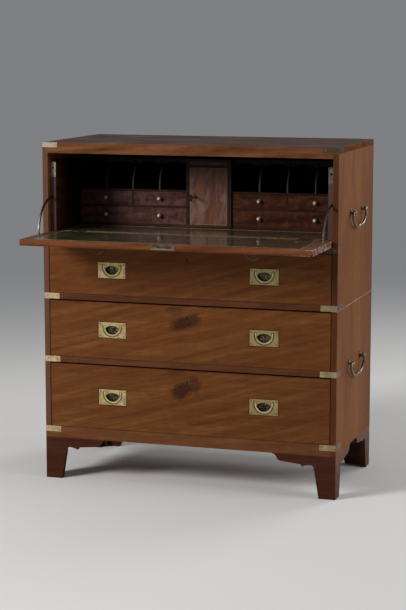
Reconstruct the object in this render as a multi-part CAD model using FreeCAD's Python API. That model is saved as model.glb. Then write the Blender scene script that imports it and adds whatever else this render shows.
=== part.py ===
import FreeCAD, Part
import math
import os

# Campaign secretaire chest: two stacked halves on bracket feet, three long drawers, and a
# secretaire drawer whose front falls open to a writing surface on two brass quadrant stays.
# Millimetres, +Z up, +Y to the back. The fall is modelled open, as it is used, and the origin
# is on the floor under the middle of the box that holds the open desk.

V = FreeCAD.Vector
ORIGIN = V(0, 0, 0)
X_AXIS = V(1, 0, 0)
Y_AXIS = V(0, 1, 0)
Z_AXIS = V(0, 0, 1)
QUARTER_TURN = 90.0

# Overall sizes and the stack of heights, from the floor up.
case_width = 1000.0
case_depth = 510.0
foot_height = 141.0
base_rail_height = 19.0
board = 19.0
bottom_opening = 220.0
middle_opening = 194.0
top_opening = 166.0
secretaire_opening = 279.0
top_rail_height = 15.0
top_board = 20.0

# Carcase boards.
side_board = 18.0
back_board = 12.0
back_plank_count = 5
back_plank_gap = 0.6
rail_depth = 60.0
runner_width = 60.0
dust_panel = 8.0
dust_top = 15.0
stop_size = (50.0, 18.0, 6.0)
stop_place = 200.0
peg_radius = 5.0
peg_inset = 60.0
peg_up = 20.0
peg_down = 25.0
peg_hole_extra = 2.0

# Bracket feet. The outline is in shares of the wing's length and of the foot's height.
foot_wing = 212.0
foot_lap = 2.0
foot_leg_share = 0.26
foot_knee_shares = (0.335, 0.67)
foot_notch_shares = ((0.352, 0.745), (0.392, 0.773))
foot_lobe_shares = ((0.462, 0.762), (0.528, 0.723))
foot_step_shares = ((0.538, 0.762), (0.561, 0.780))
foot_wing_end_shares = (0.849, 0.823)
foot_ogee_low_shares = ((0.892, 0.842), (0.920, 0.894))
foot_ogee_high_shares = ((0.948, 0.955), (1.0, 0.99))
rear_foot_width = 80.0
rear_foot_top = 135.0
foot_block = 20.0
foot_block_lift = 8.0

# Flush brass straps and three-way corners.
strap = 1.6
strap_front = 54.5
strap_side = 64.0
corner_front = 52.0
corner_height = 16.0

# Carrying handles on the two sides: turned posts and a drop bail.
post_spacing = 160.0
upper_post_height = 910.0
lower_post_height = 416.0
rosette_radius = 15.0
rosette = 3.0
post_neck = 4.5
post_head = 8.0
post_reach = 13.0
carry_rod = 4.2
carry_drop = 48.0
carry_pin_over = 3.0
carry_shoulder = 34.0
carry_grip_half = 62.0
carry_shoulder_bend = 10.0
carry_grip_bend = 105.0
carry_swell = 6.2
carry_swell_end = 4.5
carry_swell_half = 19.0

# Running clearances.
slide_gap = 0.3
drawer_side_gap = 2.0
drawer_top_gap = 4.5
top_drawer_top_gap = 1.5
front_foot_gap = 0.8
back_gap = 3.0
pin_gap = 0.05
overrun = 5.0

# Long drawers.
drawer_front = 22.0
drawer_side = 12.0
drawer_bottom = 7.0
drawer_bottom_lift = 9.0
drawer_back_drop = 10.0
dust_top_gap = 4.0

# Flush handles: a brass pan let into the front, with a flat bail that lies in it.
handle_place = 260.0
pan_width = 96.0
pan_height = 52.0
pan_plate = 5.0
pan_wall = 1.2
bail_half = 31.0
bail_bar = 6.0
bail_thick = 3.2
bail_pivot_up = 16.0
bail_drop = 36.5
bail_shoulder_down = 7.0
bail_lie = 0.3
bail_gap = 0.6
trunnion_radius = 1.1
trunnion_reach = 3.0
dish_half_length = 25.0
dish_half_height = 15.5
dish_depth = 10.5
dish_draft = 4.0
dish_rise = -0.9
pocket_gap = 0.1

# Keyholes and locks of the long drawers.
key_drop = 43.0
escutcheon_rim = 1.2
escutcheon = 2.0
keyhole_width = 3.6
keyhole_height = 19.0
keyhole_round = 3.4
lock_size = (64.0, 9.0, 46.0)
lock_rise = 30.0

# Secretaire drawer and its fall.
fall = 20.0
fall_side_gap = 2.0
fall_top_gap = 1.5
pivot_sink = 3.3
joint_gap = 0.5
secretaire_side = 19.0
secretaire_side_top_gap = 28.0
secretaire_side_gap = 1.0
secretaire_side_clear = 0.5
secretaire_back = 12.0
leather = 1.0
leather_margin = 14.0
leather_end_margin = 38.0
leather_hinge_margin = 3.0
leather_joint = 12.0
floor_leather_front = 20.5
floor_leather_back = 6.0
hinge_inset = 90.0
hinge_length = 40.0
hinge_eye_length = 20.0
hinge_eye_gap = 0.3
hinge_knuckle = 3.0
hinge_pin = 1.5
hinge_leaf = 2.0
hinge_leaf_width = 14.0
hinge_room = 0.6
stay_radius = 115.0
stay_bar = 8.0
stay_thick = 4.0
stay_edge = 2.5
stay_tail_angle = 6.0
stay_groove_gap = 0.8
stay_groove_side = 1.0
stay_groove_end = 14.0
stay_foot_length = 26.0
stay_foot_width = 10.0
stay_foot = 2.0
catch_size = (19.0, 1.5, 48.0)
catch_top = 4.0
catch_hole = 3.5
catch_hole_down = 18.0
catch_hole_deep = 12.0
lock_plate_size = (80.0, 2.0, 15.0)
fall_handle_rise = 150.0

# Pigeonhole case inside the secretaire drawer.
case_set_back = 240.0
case_base = 10.0
wide_drawer_opening = 56.0
small_drawer_opening = 48.0
case_shelf = 6.0
case_top = 8.0
case_top_gap = 26.7
pigeonholes_per_bank = 4
partition = 5.0
partition_lean = 28.0
partition_curve_shares = ((0.05, 0.30), (0.45, 0.55), (0.75, 0.72), (1.0, 1.0))
valance = 4.0
valance_height = 16.0
valance_set_back = 30.0
valance_rise_share = 0.7

# Cupboard in the middle of the case.
cupboard_half = 79.0
cupboard_upright = 7.0
pilaster_width = 11.4
pilaster = 6.0
frieze_height = 27.0
frieze_lap = 10.0
door = 12.0
door_gap = 0.6
door_sink = 1.0
door_pin_radius = 1.5
door_pin_length = 6.0
door_pin_hole_extra = 0.5
key_place = 46.0
key_radius = 2.0
key_reach = 46.0
key_in = 8.0
key_bow_half = (8.0, 11.0)
key_bow_bar = 3.0
key_collar = 3.4
key_collar_length = 4.0
key_up_share = 0.49
door_escutcheon_half = (4.5, 8.0)

# Small drawers and their turned knobs.
small_front = 10.0
small_side = 6.0
small_bottom = 4.0
small_bottom_lift = 3.0
small_gap = 0.6
small_top_gap = 0.9
small_back_gap = 4.0
knob_radius = 6.6
knob_neck = 2.6
knob_base = 4.4
knob_base_thick = 1.6
knob_reach = 15.2
knob_stem = 1.8
knob_stem_length = 7.0

# Heights and planes that follow from the sizes above.
half_width = case_width / 2
foot_board = side_board + foot_lap
inner_half = half_width - side_board
bottom_z0 = foot_height + base_rail_height
bottom_z = bottom_z0 + board
lower_rail_z0 = bottom_z + bottom_opening
lower_rail_z = lower_rail_z0 + board
split_z = lower_rail_z + middle_opening
upper_bottom_z = split_z + board
upper_rail_z0 = upper_bottom_z + top_opening
upper_rail_z = upper_rail_z0 + board
opening_top_z = upper_rail_z + secretaire_opening
top_rail_z = opening_top_z + top_rail_height
top_z = top_rail_z + top_board

fall_radius = fall - pivot_sink
floor_z0 = upper_rail_z + slide_gap
writing_z = floor_z0 + fall
pivot_z = writing_z - pivot_sink
fall_rise = opening_top_z - fall_top_gap - pivot_z
fall_reach = fall_rise - fall_radius
front_y = (fall_reach - case_depth) / 2
back_y = front_y + case_depth
back_inner_y = back_y - back_board
pivot_y = front_y + fall_radius
pivot = V(0, pivot_y, pivot_z)


def box(x0, x1, y0, y1, z0, z1):
    return Part.makeBox(x1 - x0, y1 - y0, z1 - z0, V(x0, y0, z0))


def rod(radius, start, end):
    along = end - start
    return Part.makeCylinder(radius, along.Length, start, along)


def outline(start, steps):
    """Closed wire. Each step is an end point, or a pair: a point on an arc and its end."""
    edges = []
    here = start
    for step in steps:
        if isinstance(step, tuple):
            through, end = step
            edges.append(Part.Arc(here, through, end).toShape())
        else:
            end = step
            edges.append(Part.LineSegment(here, end).toShape())
        here = end
    return Part.Wire(edges)


def slab(start, steps, along):
    return Part.Face(outline(start, steps)).extrude(along)


def left_of(shape):
    return shape.mirror(ORIGIN, X_AXIS)


def both_sides(shape):
    return [left_of(shape), shape]


def moved(shape, place):
    copy = shape.copy()
    copy.translate(place)
    return copy


def turned(shape, centre, axis, angle):
    copy = shape.copy()
    copy.rotate(centre, axis, angle)
    return copy


def joined(first, *others):
    return first.fuse(list(others)).removeSplitter()


def without(shape, tools):
    return shape.cut(tools) if tools else shape


def save(node, shapes):
    solids = [solid for shape in shapes for solid in shape.Solids]
    whole = solids[0] if len(solids) == 1 else Part.makeCompound(solids)
    whole.exportStep("parts/%s.step" % node)


os.makedirs("parts", exist_ok=True)

# Flush brass. A strap wraps the corner of the case at a rail, from the front to the side.


def rail_strap(z0, z1):
    front = box(half_width - strap_front, half_width, front_y, front_y + strap, z0, z1)
    side = box(half_width - strap, half_width, front_y, front_y + strap_side, z0, z1)
    return joined(front, side)


def top_corner():
    z0 = top_z - corner_height
    inner_x = half_width - corner_front
    front = box(inner_x, half_width, front_y, front_y + strap, z0, top_z)
    side = box(half_width - strap, half_width, front_y, front_y + strap_side, z0, top_z)
    over_front = box(inner_x, half_width, front_y, front_y + corner_height, top_z - strap, top_z)
    over_side = box(half_width - corner_height, half_width, front_y, front_y + strap_side,
                    top_z - strap, top_z)
    return joined(front, side, over_front, over_side)


case_middle = V(0, (front_y + back_y) / 2, 0)
front_corner = top_corner()
rear_corner = front_corner.mirror(case_middle, Y_AXIS)
lower_straps = both_sides(rail_strap(bottom_z0, bottom_z))
lower_straps += both_sides(rail_strap(lower_rail_z0, lower_rail_z))
upper_straps = both_sides(rail_strap(split_z, upper_bottom_z))
upper_straps += both_sides(rail_strap(upper_rail_z0, upper_rail_z))
upper_straps += both_sides(front_corner) + both_sides(rear_corner)
save("lower_brass_straps", lower_straps)
save("upper_brass_straps", upper_straps)

# Pegs that locate the upper half on the lower one, in the edges of the side boards.
peg_x = half_width - side_board / 2
peg_places = [V(peg_x, y, split_z) for y in (front_y + peg_inset, back_y - peg_inset)]
pegs = []
peg_holes = []
for place in peg_places:
    down = place - Z_AXIS * peg_down
    up = place + Z_AXIS * peg_up
    slack = Z_AXIS * peg_hole_extra
    pegs += both_sides(rod(peg_radius, down, up))
    peg_holes += both_sides(rod(peg_radius + pin_gap, down, up + slack))
save("locating_pegs", pegs)

# Side boards.
lower_side = box(inner_half, half_width, front_y, back_y, foot_height, split_z)
save("lower_sides", [without(s, lower_straps + peg_holes) for s in both_sides(lower_side)])
upper_side = box(inner_half, half_width, front_y, back_y, split_z, top_rail_z)
save("upper_sides", [without(s, upper_straps + peg_holes) for s in both_sides(upper_side)])

# Boards that span between the sides.
bottom = box(-inner_half, inner_half, front_y, back_inner_y, bottom_z0, bottom_z)
base_front = box(-inner_half, inner_half, front_y, front_y + foot_board, foot_height, bottom_z0)
base_back = box(-inner_half, inner_half, back_inner_y - foot_board, back_inner_y, foot_height, bottom_z0)


def drawer_stops(z):
    length, deep, high = stop_size
    y0 = front_y + drawer_front + slide_gap
    stop = box(stop_place - length / 2, stop_place + length / 2, y0, y0 + deep, z, z + high)
    return both_sides(stop)


def divider(z0):
    """Front rail, two runners and a thinner dust panel between them."""
    z1 = z0 + board
    y1 = front_y + rail_depth
    rail = box(-inner_half, inner_half, front_y, y1, z0, z1)
    runner = box(inner_half - runner_width, inner_half, y1, back_inner_y, z0, z1)
    panel_z = z0 + (board - dust_panel) / 2
    panel_half = inner_half - runner_width
    panel = box(-panel_half, panel_half, y1, back_inner_y, panel_z, panel_z + dust_panel)
    return [rail, panel] + both_sides(runner)


save("lower_bottom", [without(bottom, lower_straps), base_front, base_back] + drawer_stops(bottom_z))
lower_divider = divider(lower_rail_z0)
save("lower_divider", [without(s, lower_straps) for s in lower_divider] + drawer_stops(lower_rail_z))
dust_top_y = front_y + drawer_front + slide_gap
dust_board = box(-inner_half, inner_half, dust_top_y, back_inner_y, split_z - dust_top, split_z)
save("lower_dust_top", [dust_board])
upper_bottom = box(-inner_half, inner_half, front_y, back_inner_y, split_z, upper_bottom_z)
save("upper_bottom", [without(upper_bottom, upper_straps)] + drawer_stops(upper_bottom_z))
save("upper_divider", [without(s, upper_straps) for s in divider(upper_rail_z0)])
top = box(-half_width, half_width, front_y, back_y, top_rail_z, top_z)
top_front_rail = box(-inner_half, inner_half, front_y, front_y + rail_depth, opening_top_z, top_rail_z)
top_back_rail = box(-inner_half, inner_half, back_inner_y - rail_depth, back_inner_y,
                    opening_top_z, top_rail_z)
save("upper_top", [without(s, upper_straps) for s in (top, top_front_rail, top_back_rail)])


def back_planks(z0, z1):
    """Upright planks side by side between the side boards."""
    pitch = 2 * inner_half / back_plank_count
    planks = []
    for index in range(back_plank_count):
        x0 = -inner_half + index * pitch
        x1 = x0 + pitch - (back_plank_gap if index < back_plank_count - 1 else 0)
        planks.append(box(x0, x1, back_inner_y, back_y, z0, z1))
    return planks


save("lower_back", back_planks(foot_height, split_z))
save("upper_back", back_planks(split_z, top_rail_z))

# Bracket feet: a scrolled bracket on each show side, mitred at the corner, with a block behind.


def foot_point(shares):
    return V(-shares[0] * foot_wing, 0, shares[1] * foot_height)


def bracket_outline():
    """Scrolled bracket in the XZ plane, running to -X from its outer corner."""
    arcs = (foot_notch_shares, foot_lobe_shares, foot_step_shares)
    steps = [foot_point((foot_leg_share, 0)), foot_point(foot_knee_shares)]
    steps += [(foot_point(through), foot_point(end)) for through, end in arcs]
    steps.append(foot_point(foot_wing_end_shares))
    arcs = (foot_ogee_low_shares, foot_ogee_high_shares)
    steps += [(foot_point(through), foot_point(end)) for through, end in arcs]
    steps += [V(-foot_wing, 0, foot_height), V(0, 0, foot_height), ORIGIN]
    return ORIGIN, steps


def mitred(bracket, outer_x, y):
    """Cut a bracket's outer end at 45 degrees to its inner face."""
    corner = V(outer_x, y, 0)
    steps = [corner + Y_AXIS * foot_board, corner + Y_AXIS * foot_board - X_AXIS * foot_board, corner]
    return bracket.cut(slab(corner, steps, Z_AXIS * foot_height))


start, steps = bracket_outline()
plain_bracket = mitred(slab(start, steps, Y_AXIS * foot_board), 0, 0)
front_bracket = moved(plain_bracket, V(half_width, front_y, 0))
side_bracket = turned(left_of(plain_bracket), ORIGIN, Z_AXIS, QUARTER_TURN)
side_bracket = moved(side_bracket, V(half_width, front_y, 0))
rear_side_bracket = side_bracket.mirror(case_middle, Y_AXIS)
rear_steps = [V(-rear_foot_width, 0, 0), V(-rear_foot_top, 0, foot_height), V(0, 0, foot_height), ORIGIN]
rear_bracket = mitred(slab(ORIGIN, rear_steps, Y_AXIS * foot_board), 0, 0)
rear_bracket = moved(rear_bracket, V(half_width, front_y, 0)).mirror(case_middle, Y_AXIS)
block_x = half_width - foot_board
block_y = front_y + foot_board
block = box(block_x - foot_block, block_x, block_y, block_y + foot_block, foot_block_lift, foot_height)
feet = []
for piece in (front_bracket, side_bracket, rear_side_bracket, rear_bracket):
    feet += both_sides(piece)
feet += both_sides(block) + both_sides(block.mirror(case_middle, Y_AXIS))
save("bracket_feet", feet)

# Carrying handles: two turned posts on each side, and a bail whose ends turn in their heads.


def carry_post(place):
    """Turned along X: a rosette on the case, a neck and a round head bored for the bail."""
    reach = post_reach
    shoulder = reach - math.sqrt(post_head ** 2 - post_neck ** 2)
    steps = [V(0, rosette_radius, 0), V(rosette / 2, rosette_radius, 0),
             (V(rosette, (rosette_radius + post_neck) / 2, 0), V(rosette, post_neck, 0)),
             V(shoulder, post_neck, 0), (V(reach, post_head, 0), V(reach + post_head, 0, 0)), ORIGIN]
    turned_post = Part.Face(outline(ORIGIN, steps)).revolve(ORIGIN, X_AXIS, 4 * QUARTER_TURN)
    turned_post = moved(Part.Solid(turned_post.Shells[0]), place)
    bore_start = place + V(reach, -post_head - overrun, 0)
    bore_end = place + V(reach, post_head + overrun, 0)
    return turned_post.cut(rod(carry_rod + pin_gap, bore_start, bore_end))


def corner_arc(before, corner, after, radius):
    """Tangent arc that rounds a corner of a path: its start, middle and end."""
    back = (before - corner).normalize()
    ahead = (after - corner).normalize()
    half = back.getAngle(ahead) / 2
    run = radius / math.tan(half)
    centre = corner + (back + ahead).normalize() * (radius / math.sin(half))
    middle = centre + (corner - centre).normalize() * radius
    return corner + back * run, middle, corner + ahead * run


def bent_rod(points, bends, radius):
    """Round rod along straight runs joined by tangent arcs."""
    edges = []
    here = points[0]
    for before, corner, after, bend in zip(points, points[1:], points[2:], bends):
        start, middle, end = corner_arc(before, corner, after, bend)
        edges.append(Part.LineSegment(here, start).toShape())
        edges.append(Part.Arc(start, middle, end).toShape())
        here = end
    edges.append(Part.LineSegment(here, points[-1]).toShape())
    ring = Part.Wire(Part.makeCircle(radius, points[0], points[1] - points[0]))
    return Part.Wire(edges).makePipeShell([ring], True, False)


def carry_bail(place):
    """Bowed drop bail with a swelled grip, hanging from its two pins in the posts' heads."""
    pin_end = post_spacing / 2 - post_head - carry_pin_over
    shoulder = post_spacing / 2 + carry_shoulder
    points = [V(0, -pin_end, 0), V(0, -shoulder, 0), V(0, -carry_grip_half, -carry_drop)]
    points += [V(0, -p.y, p.z) for p in reversed(points)]
    bends = (carry_shoulder_bend, carry_grip_bend, carry_grip_bend, carry_shoulder_bend)
    low = V(0, -carry_swell_half, 0)
    high = V(0, carry_swell_half, 0)
    end = X_AXIS * carry_swell_end
    steps = [low + end, (X_AXIS * carry_swell, high + end), high, low]
    swell = Part.Face(outline(low, steps)).revolve(ORIGIN, Y_AXIS, 4 * QUARTER_TURN)
    swell = moved(Part.Solid(swell.Shells[0]), V(0, 0, -carry_drop))
    return moved(bent_rod(points, bends, carry_rod).fuse(swell), place + X_AXIS * post_reach)


post_y = (front_y + back_y) / 2
for half, height in (("lower", lower_post_height), ("upper", upper_post_height)):
    posts = []
    for y in (post_y - post_spacing / 2, post_y + post_spacing / 2):
        posts += both_sides(carry_post(V(half_width, y, height)))
    save(half + "_handle_posts", posts)
    carry = carry_bail(V(half_width, post_y, height))
    save(half + "_left_bail", [left_of(carry)])
    save(half + "_right_bail", [carry])

# Flush handle, made with its face on the XZ plane and its depth along +Y.


def bail_outline(half, pivot_up, low, shoulder):
    """Steps of a D: down one leg, round the bottom and up the other."""
    steps = [V(-half, 0, shoulder), (V(0, 0, low), V(half, 0, shoulder)), V(half, 0, pivot_up)]
    return V(-half, 0, pivot_up), steps


def dish(half_length, half_height, draft, depth):
    """Oval bowl with sloping sides, from the face of the handle inwards."""
    wires = []
    for y, shrink in ((0, 0), (depth, draft)):
        centre = V(0, y, dish_rise)
        end = centre + X_AXIS * (half_length - shrink)
        top = centre + Z_AXIS * (half_height - shrink)
        wires.append(Part.Wire(Part.Ellipse(end, top, centre).toShape()))
    return Part.makeLoft(wires, True, True)


bail_low = bail_pivot_up - bail_drop
bail_shoulder = bail_pivot_up - bail_shoulder_down
bail_y = bail_lie + bail_thick / 2


def flush_bail():
    start, steps = bail_outline(bail_half, bail_pivot_up, bail_low, bail_shoulder)
    inner = bail_half - bail_bar
    inner_start, inner_steps = bail_outline(inner, bail_pivot_up, bail_low + bail_bar, bail_shoulder)
    full = slab(start, steps + [start], Y_AXIS * bail_thick)
    core = slab(inner_start, inner_steps + [inner_start], Y_AXIS * bail_thick)
    bar = moved(full.cut(core), Y_AXIS * bail_lie)
    ends = []
    for side in (-1, 1):
        knuckle_in = V(side * inner, bail_y, bail_pivot_up)
        knuckle_out = V(side * bail_half, bail_y, bail_pivot_up)
        tip = V(side * (bail_half + trunnion_reach), bail_y, bail_pivot_up)
        ends.append(rod(bail_thick / 2, knuckle_in, knuckle_out))
        ends.append(rod(trunnion_radius, knuckle_out, tip))
    return joined(bar, *ends)


def flush_pan():
    plate = box(-pan_width / 2, pan_width / 2, 0, pan_plate, -pan_height / 2, pan_height / 2)
    bowl = dish(dish_half_length, dish_half_height, dish_draft, dish_depth)
    cup = dish(dish_half_length + pan_wall, dish_half_height + pan_wall, dish_draft,
               dish_depth + pan_wall)
    start, steps = bail_outline(bail_half + bail_gap, bail_pivot_up + bail_thick / 2 + bail_gap,
                                bail_low - bail_gap, bail_shoulder - bail_gap)
    inner = bail_half - bail_bar - bail_gap
    inner_low = bail_low + bail_bar + bail_gap
    inner_start, inner_steps = bail_outline(inner, bail_pivot_up + bail_thick + bail_gap, inner_low,
                                            bail_shoulder + bail_gap)
    lie = Y_AXIS * (bail_lie + bail_thick + bail_gap)
    recess = slab(start, steps + [start], lie).cut(slab(inner_start, inner_steps + [inner_start], lie))
    hole_half = bail_half + trunnion_reach + bail_gap
    hole = rod(trunnion_radius + pin_gap, V(-hole_half, bail_y, bail_pivot_up),
               V(hole_half, bail_y, bail_pivot_up))
    return joined(plate, cup).cut([bowl, recess, hole])


def pan_pocket():
    plate = box(-pan_width / 2, pan_width / 2, -overrun, pan_plate, -pan_height / 2, pan_height / 2)
    grown = pan_wall + pocket_gap
    cup = dish(dish_half_length + grown, dish_half_height + grown, dish_draft, dish_depth + grown)
    return joined(plate, cup)


def oblong(half_width_x, half_height_z, y0, y1):
    """Upright plate with round ends."""
    straight = half_height_z - half_width_x
    a = V(-half_width_x, y0, -straight)
    b = V(half_width_x, y0, -straight)
    c = V(half_width_x, y0, straight)
    d = V(-half_width_x, y0, straight)
    steps = [(V(0, y0, -half_height_z), b), c, (V(0, y0, half_height_z), d), a]
    return slab(a, steps, Y_AXIS * (y1 - y0))


def keyhole_shape(grown, y0, y1):
    """Slot with a round head, as a key's shank and bit need."""
    slot = oblong(keyhole_width / 2 + grown, keyhole_height / 2 + grown, y0, y1)
    head_z = keyhole_height / 2 - keyhole_round
    head = rod(keyhole_round + grown, V(0, y0, head_z), V(0, y1, head_z))
    return joined(slot, head)


pan = flush_pan()
pocket = pan_pocket()
bail = flush_bail()

# Long drawers: a flush front, and sides, back and bottom behind it.


def long_drawer(node, z0, z1, top_gap, box_top):
    x1 = inner_half - drawer_side_gap
    foot_z = z0 + slide_gap
    box_y0 = front_y + drawer_front
    box_y1 = back_inner_y - back_gap
    face_z = (z0 + z1) / 2
    front_top = z1 - top_gap
    key_z = front_top - key_drop
    front = box(-x1, x1, front_y, box_y0, z0 + front_foot_gap, front_top)
    places = [V(-handle_place, front_y, face_z), V(handle_place, front_y, face_z)]
    keyhole = V(0, front_y, key_z)
    plate = moved(keyhole_shape(escutcheon_rim, 0, escutcheon), keyhole)
    slot = moved(keyhole_shape(0, -overrun, drawer_front), keyhole)
    lock_wide, lock_deep, lock_high = lock_size
    lock_z = key_z - lock_high + lock_rise
    lock = box(-lock_wide / 2, lock_wide / 2, box_y0 - lock_deep, box_y0, lock_z, lock_z + lock_high)
    front = front.cut([moved(pocket, place) for place in places] + [plate, slot, lock])
    side = box(x1 - drawer_side, x1, box_y0, box_y1, foot_z, box_top)
    inner_x = x1 - drawer_side
    floor_z = foot_z + drawer_bottom_lift
    bottom = box(-inner_x, inner_x, box_y0, box_y1, floor_z, floor_z + drawer_bottom)
    back = box(-inner_x, inner_x, box_y1 - drawer_side, box_y1, floor_z + drawer_bottom,
               box_top - drawer_back_drop)
    save(node, [front, bottom, back] + both_sides(side))
    save(node + "_fittings", [moved(pan, place) for place in places] + [plate.cut(slot), lock])
    for side_name, place in zip(("left", "right"), places):
        save("%s_%s_bail" % (node, side_name), [moved(bail, place)])


long_drawer("bottom_drawer", bottom_z, lower_rail_z0, drawer_top_gap, lower_rail_z0 - dust_top_gap)
long_drawer("middle_drawer", lower_rail_z, split_z, drawer_top_gap, split_z - dust_top - dust_top_gap)
long_drawer("top_drawer", upper_bottom_z, upper_rail_z0, top_drawer_top_gap, upper_rail_z0 - dust_top_gap)

# Fall, made shut and then turned down about its pivot. Its lower edge is round about the pivot,
# and the floor behind it is coved to match, so the two make a rule joint.
fall_half = inner_half - fall_side_gap
hinge_place = fall_half - hinge_inset


def opened(shape):
    return turned(shape, pivot, X_AXIS, QUARTER_TURN)


def at_pivot(x, y, z):
    return V(x, pivot_y + y, pivot_z + z)


def fall_board():
    lip = math.sqrt(fall_radius ** 2 - pivot_sink ** 2)
    start = at_pivot(-fall_half, -fall_radius, 0)
    steps = [(at_pivot(-fall_half, 0, -fall_radius), at_pivot(-fall_half, pivot_sink, -lip)),
             at_pivot(-fall_half, pivot_sink, fall_rise), at_pivot(-fall_half, -fall_radius, fall_rise),
             start]
    return slab(start, steps, X_AXIS * (2 * fall_half))


def stay():
    """Quadrant stay of the shut fall: an arc about the pivot, and its foot on the panel."""
    x1 = fall_half - stay_edge
    x0 = x1 - stay_thick
    outer = stay_radius + stay_bar / 2
    inner = stay_radius - stay_bar / 2
    tail = math.radians(stay_tail_angle)
    mid = math.radians((QUARTER_TURN - stay_tail_angle) / 2)

    def on_arc(radius, angle):
        return at_pivot(x0, radius * math.cos(angle), -radius * math.sin(angle))

    outer_top = at_pivot(x0, pivot_sink, math.sqrt(outer ** 2 - pivot_sink ** 2))
    inner_top = at_pivot(x0, pivot_sink, math.sqrt(inner ** 2 - pivot_sink ** 2))
    steps = [(on_arc(outer, -mid), on_arc(outer, tail)), on_arc(inner, tail),
             (on_arc(inner, -mid), inner_top), outer_top]
    arc = slab(outer_top, steps, X_AXIS * stay_thick)
    foot_x = x1 - stay_thick / 2
    foot_y = pivot_y + pivot_sink
    foot_z = pivot_z + stay_radius
    foot = box(foot_x - stay_foot_width / 2, foot_x + stay_foot_width / 2 - stay_edge, foot_y - stay_foot,
               foot_y, foot_z - stay_foot_length / 2, foot_z + stay_foot_length / 2)
    return joined(arc, foot)


def moving_hinge():
    """Leaf on the fall with two knuckles and the pin, for the shut fall."""
    x0 = hinge_place - hinge_length / 2
    x1 = hinge_place + hinge_length / 2
    eye0 = hinge_place - hinge_eye_length / 2 - hinge_eye_gap
    eye1 = hinge_place + hinge_eye_length / 2 + hinge_eye_gap
    face_y = pivot_y + pivot_sink
    leaf_z0 = pivot_z + hinge_knuckle + hinge_room
    leaf = box(x0, x1, face_y - hinge_leaf, face_y, leaf_z0, leaf_z0 + hinge_leaf_width)
    parts = []
    for k0, k1 in ((x0, eye0), (eye1, x1)):
        parts.append(rod(hinge_knuckle, V(k0, pivot_y, pivot_z), V(k1, pivot_y, pivot_z)))
        parts.append(box(k0, k1, face_y - hinge_leaf, face_y, pivot_z, leaf_z0))
    parts.append(rod(hinge_pin, V(x0, pivot_y, pivot_z), V(x1, pivot_y, pivot_z)))
    return joined(leaf, *parts)


def fixed_hinge():
    """Leaf on the floor with the eye that the pin turns in."""
    x0 = hinge_place - hinge_eye_length / 2
    x1 = hinge_place + hinge_eye_length / 2
    joint_y = pivot_y + fall_radius + joint_gap
    tongue = box(x0, x1, pivot_y, joint_y, writing_z - hinge_leaf, writing_z)
    wide0 = hinge_place - hinge_length / 2
    wide1 = hinge_place + hinge_length / 2
    leaf = box(wide0, wide1, joint_y, joint_y + hinge_leaf_width, writing_z - hinge_leaf, writing_z)
    eye = rod(hinge_knuckle, V(x0, pivot_y, pivot_z), V(x1, pivot_y, pivot_z))
    bore = rod(hinge_pin + pin_gap, V(x0 - overrun, pivot_y, pivot_z), V(x1 + overrun, pivot_y, pivot_z))
    return joined(leaf, tongue, eye).cut(bore)


def hinge_notch():
    """Room in the end of the shut fall for the knuckles and the fixed leaf's tongue."""
    reach = hinge_length / 2 + hinge_room
    barrel = rod(hinge_knuckle + hinge_room, V(hinge_place - reach, pivot_y, pivot_z),
                 V(hinge_place + reach, pivot_y, pivot_z))
    half = hinge_eye_length / 2 + hinge_room
    deep_y = pivot_y + pivot_sink - hinge_leaf - hinge_room
    sweep = box(hinge_place - half, hinge_place + half, deep_y, pivot_y + pivot_sink + overrun,
                pivot_z - fall_radius - overrun, pivot_z + hinge_knuckle + hinge_room)
    return [barrel, sweep]


face_y = pivot_y + pivot_sink
fall_top_z = pivot_z + fall_rise
leather_half = fall_half - leather_end_margin
fall_leather = box(-leather_half, leather_half, face_y - leather, face_y, pivot_z - leather_joint,
                   fall_top_z - leather_margin)
notch_reach = hinge_length / 2 + leather_hinge_margin
leaf_end_z = pivot_z + hinge_knuckle + hinge_room + hinge_leaf_width
leather_notch = box(hinge_place - notch_reach, hinge_place + notch_reach, face_y - fall, face_y + fall,
                    pivot_z - fall, leaf_end_z + leather_hinge_margin)
fall_leather = fall_leather.cut(both_sides(leather_notch))
stays = both_sides(stay())
moving_hinges = both_sides(moving_hinge())
plate_long, plate_thick, plate_wide = lock_plate_size
plate_y = front_y + fall / 2
lock_plate = box(-plate_long / 2, plate_long / 2, plate_y - plate_wide / 2, plate_y + plate_wide / 2,
                 fall_top_z - plate_thick, fall_top_z)
fall_handle_z = pivot_z + fall_handle_rise - bail_pivot_up
fall_places = [V(-handle_place, front_y, fall_handle_z), V(handle_place, front_y, fall_handle_z)]
notches = hinge_notch()
fall_panel = fall_board().cut([moved(pocket, place) for place in fall_places])
fall_panel = fall_panel.cut([fall_leather, lock_plate] + stays + moving_hinges)
fall_panel = fall_panel.cut(notches + [left_of(notch) for notch in notches])
save("fall_panel", [opened(fall_panel)])
save("fall_leather", [opened(fall_leather)])
save("fall_hinges", [opened(hinge) for hinge in moving_hinges])
save("quadrant_stays", [opened(one) for one in stays])
save("fall_fittings", [opened(moved(pan, place)) for place in fall_places] + [opened(lock_plate)])
for side_name, place in zip(("left", "right"), fall_places):
    flush_axis = place + V(0, bail_y, bail_pivot_up)
    open_axis = V(place.x, pivot_y - flush_axis.z + pivot_z, pivot_z + flush_axis.y - pivot_y)
    hung = turned(opened(moved(bail, place)), open_axis, X_AXIS, -QUARTER_TURN)
    save("fall_%s_bail" % side_name, [hung])

# Secretaire drawer: a floor and sides coved round the fall's edge, and a back. An arc groove in
# the outer face of each side takes the stay.
wall_x1 = inner_half - secretaire_side_gap
wall_x0 = wall_x1 - secretaire_side
wall_z1 = opening_top_z - secretaire_side_top_gap
wall_y0 = front_y + fall + secretaire_side_clear
wall_y1 = back_inner_y - back_gap
inner_y1 = wall_y1 - secretaire_back
unit_y = front_y + case_set_back
cove_radius = fall_radius + joint_gap


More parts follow.
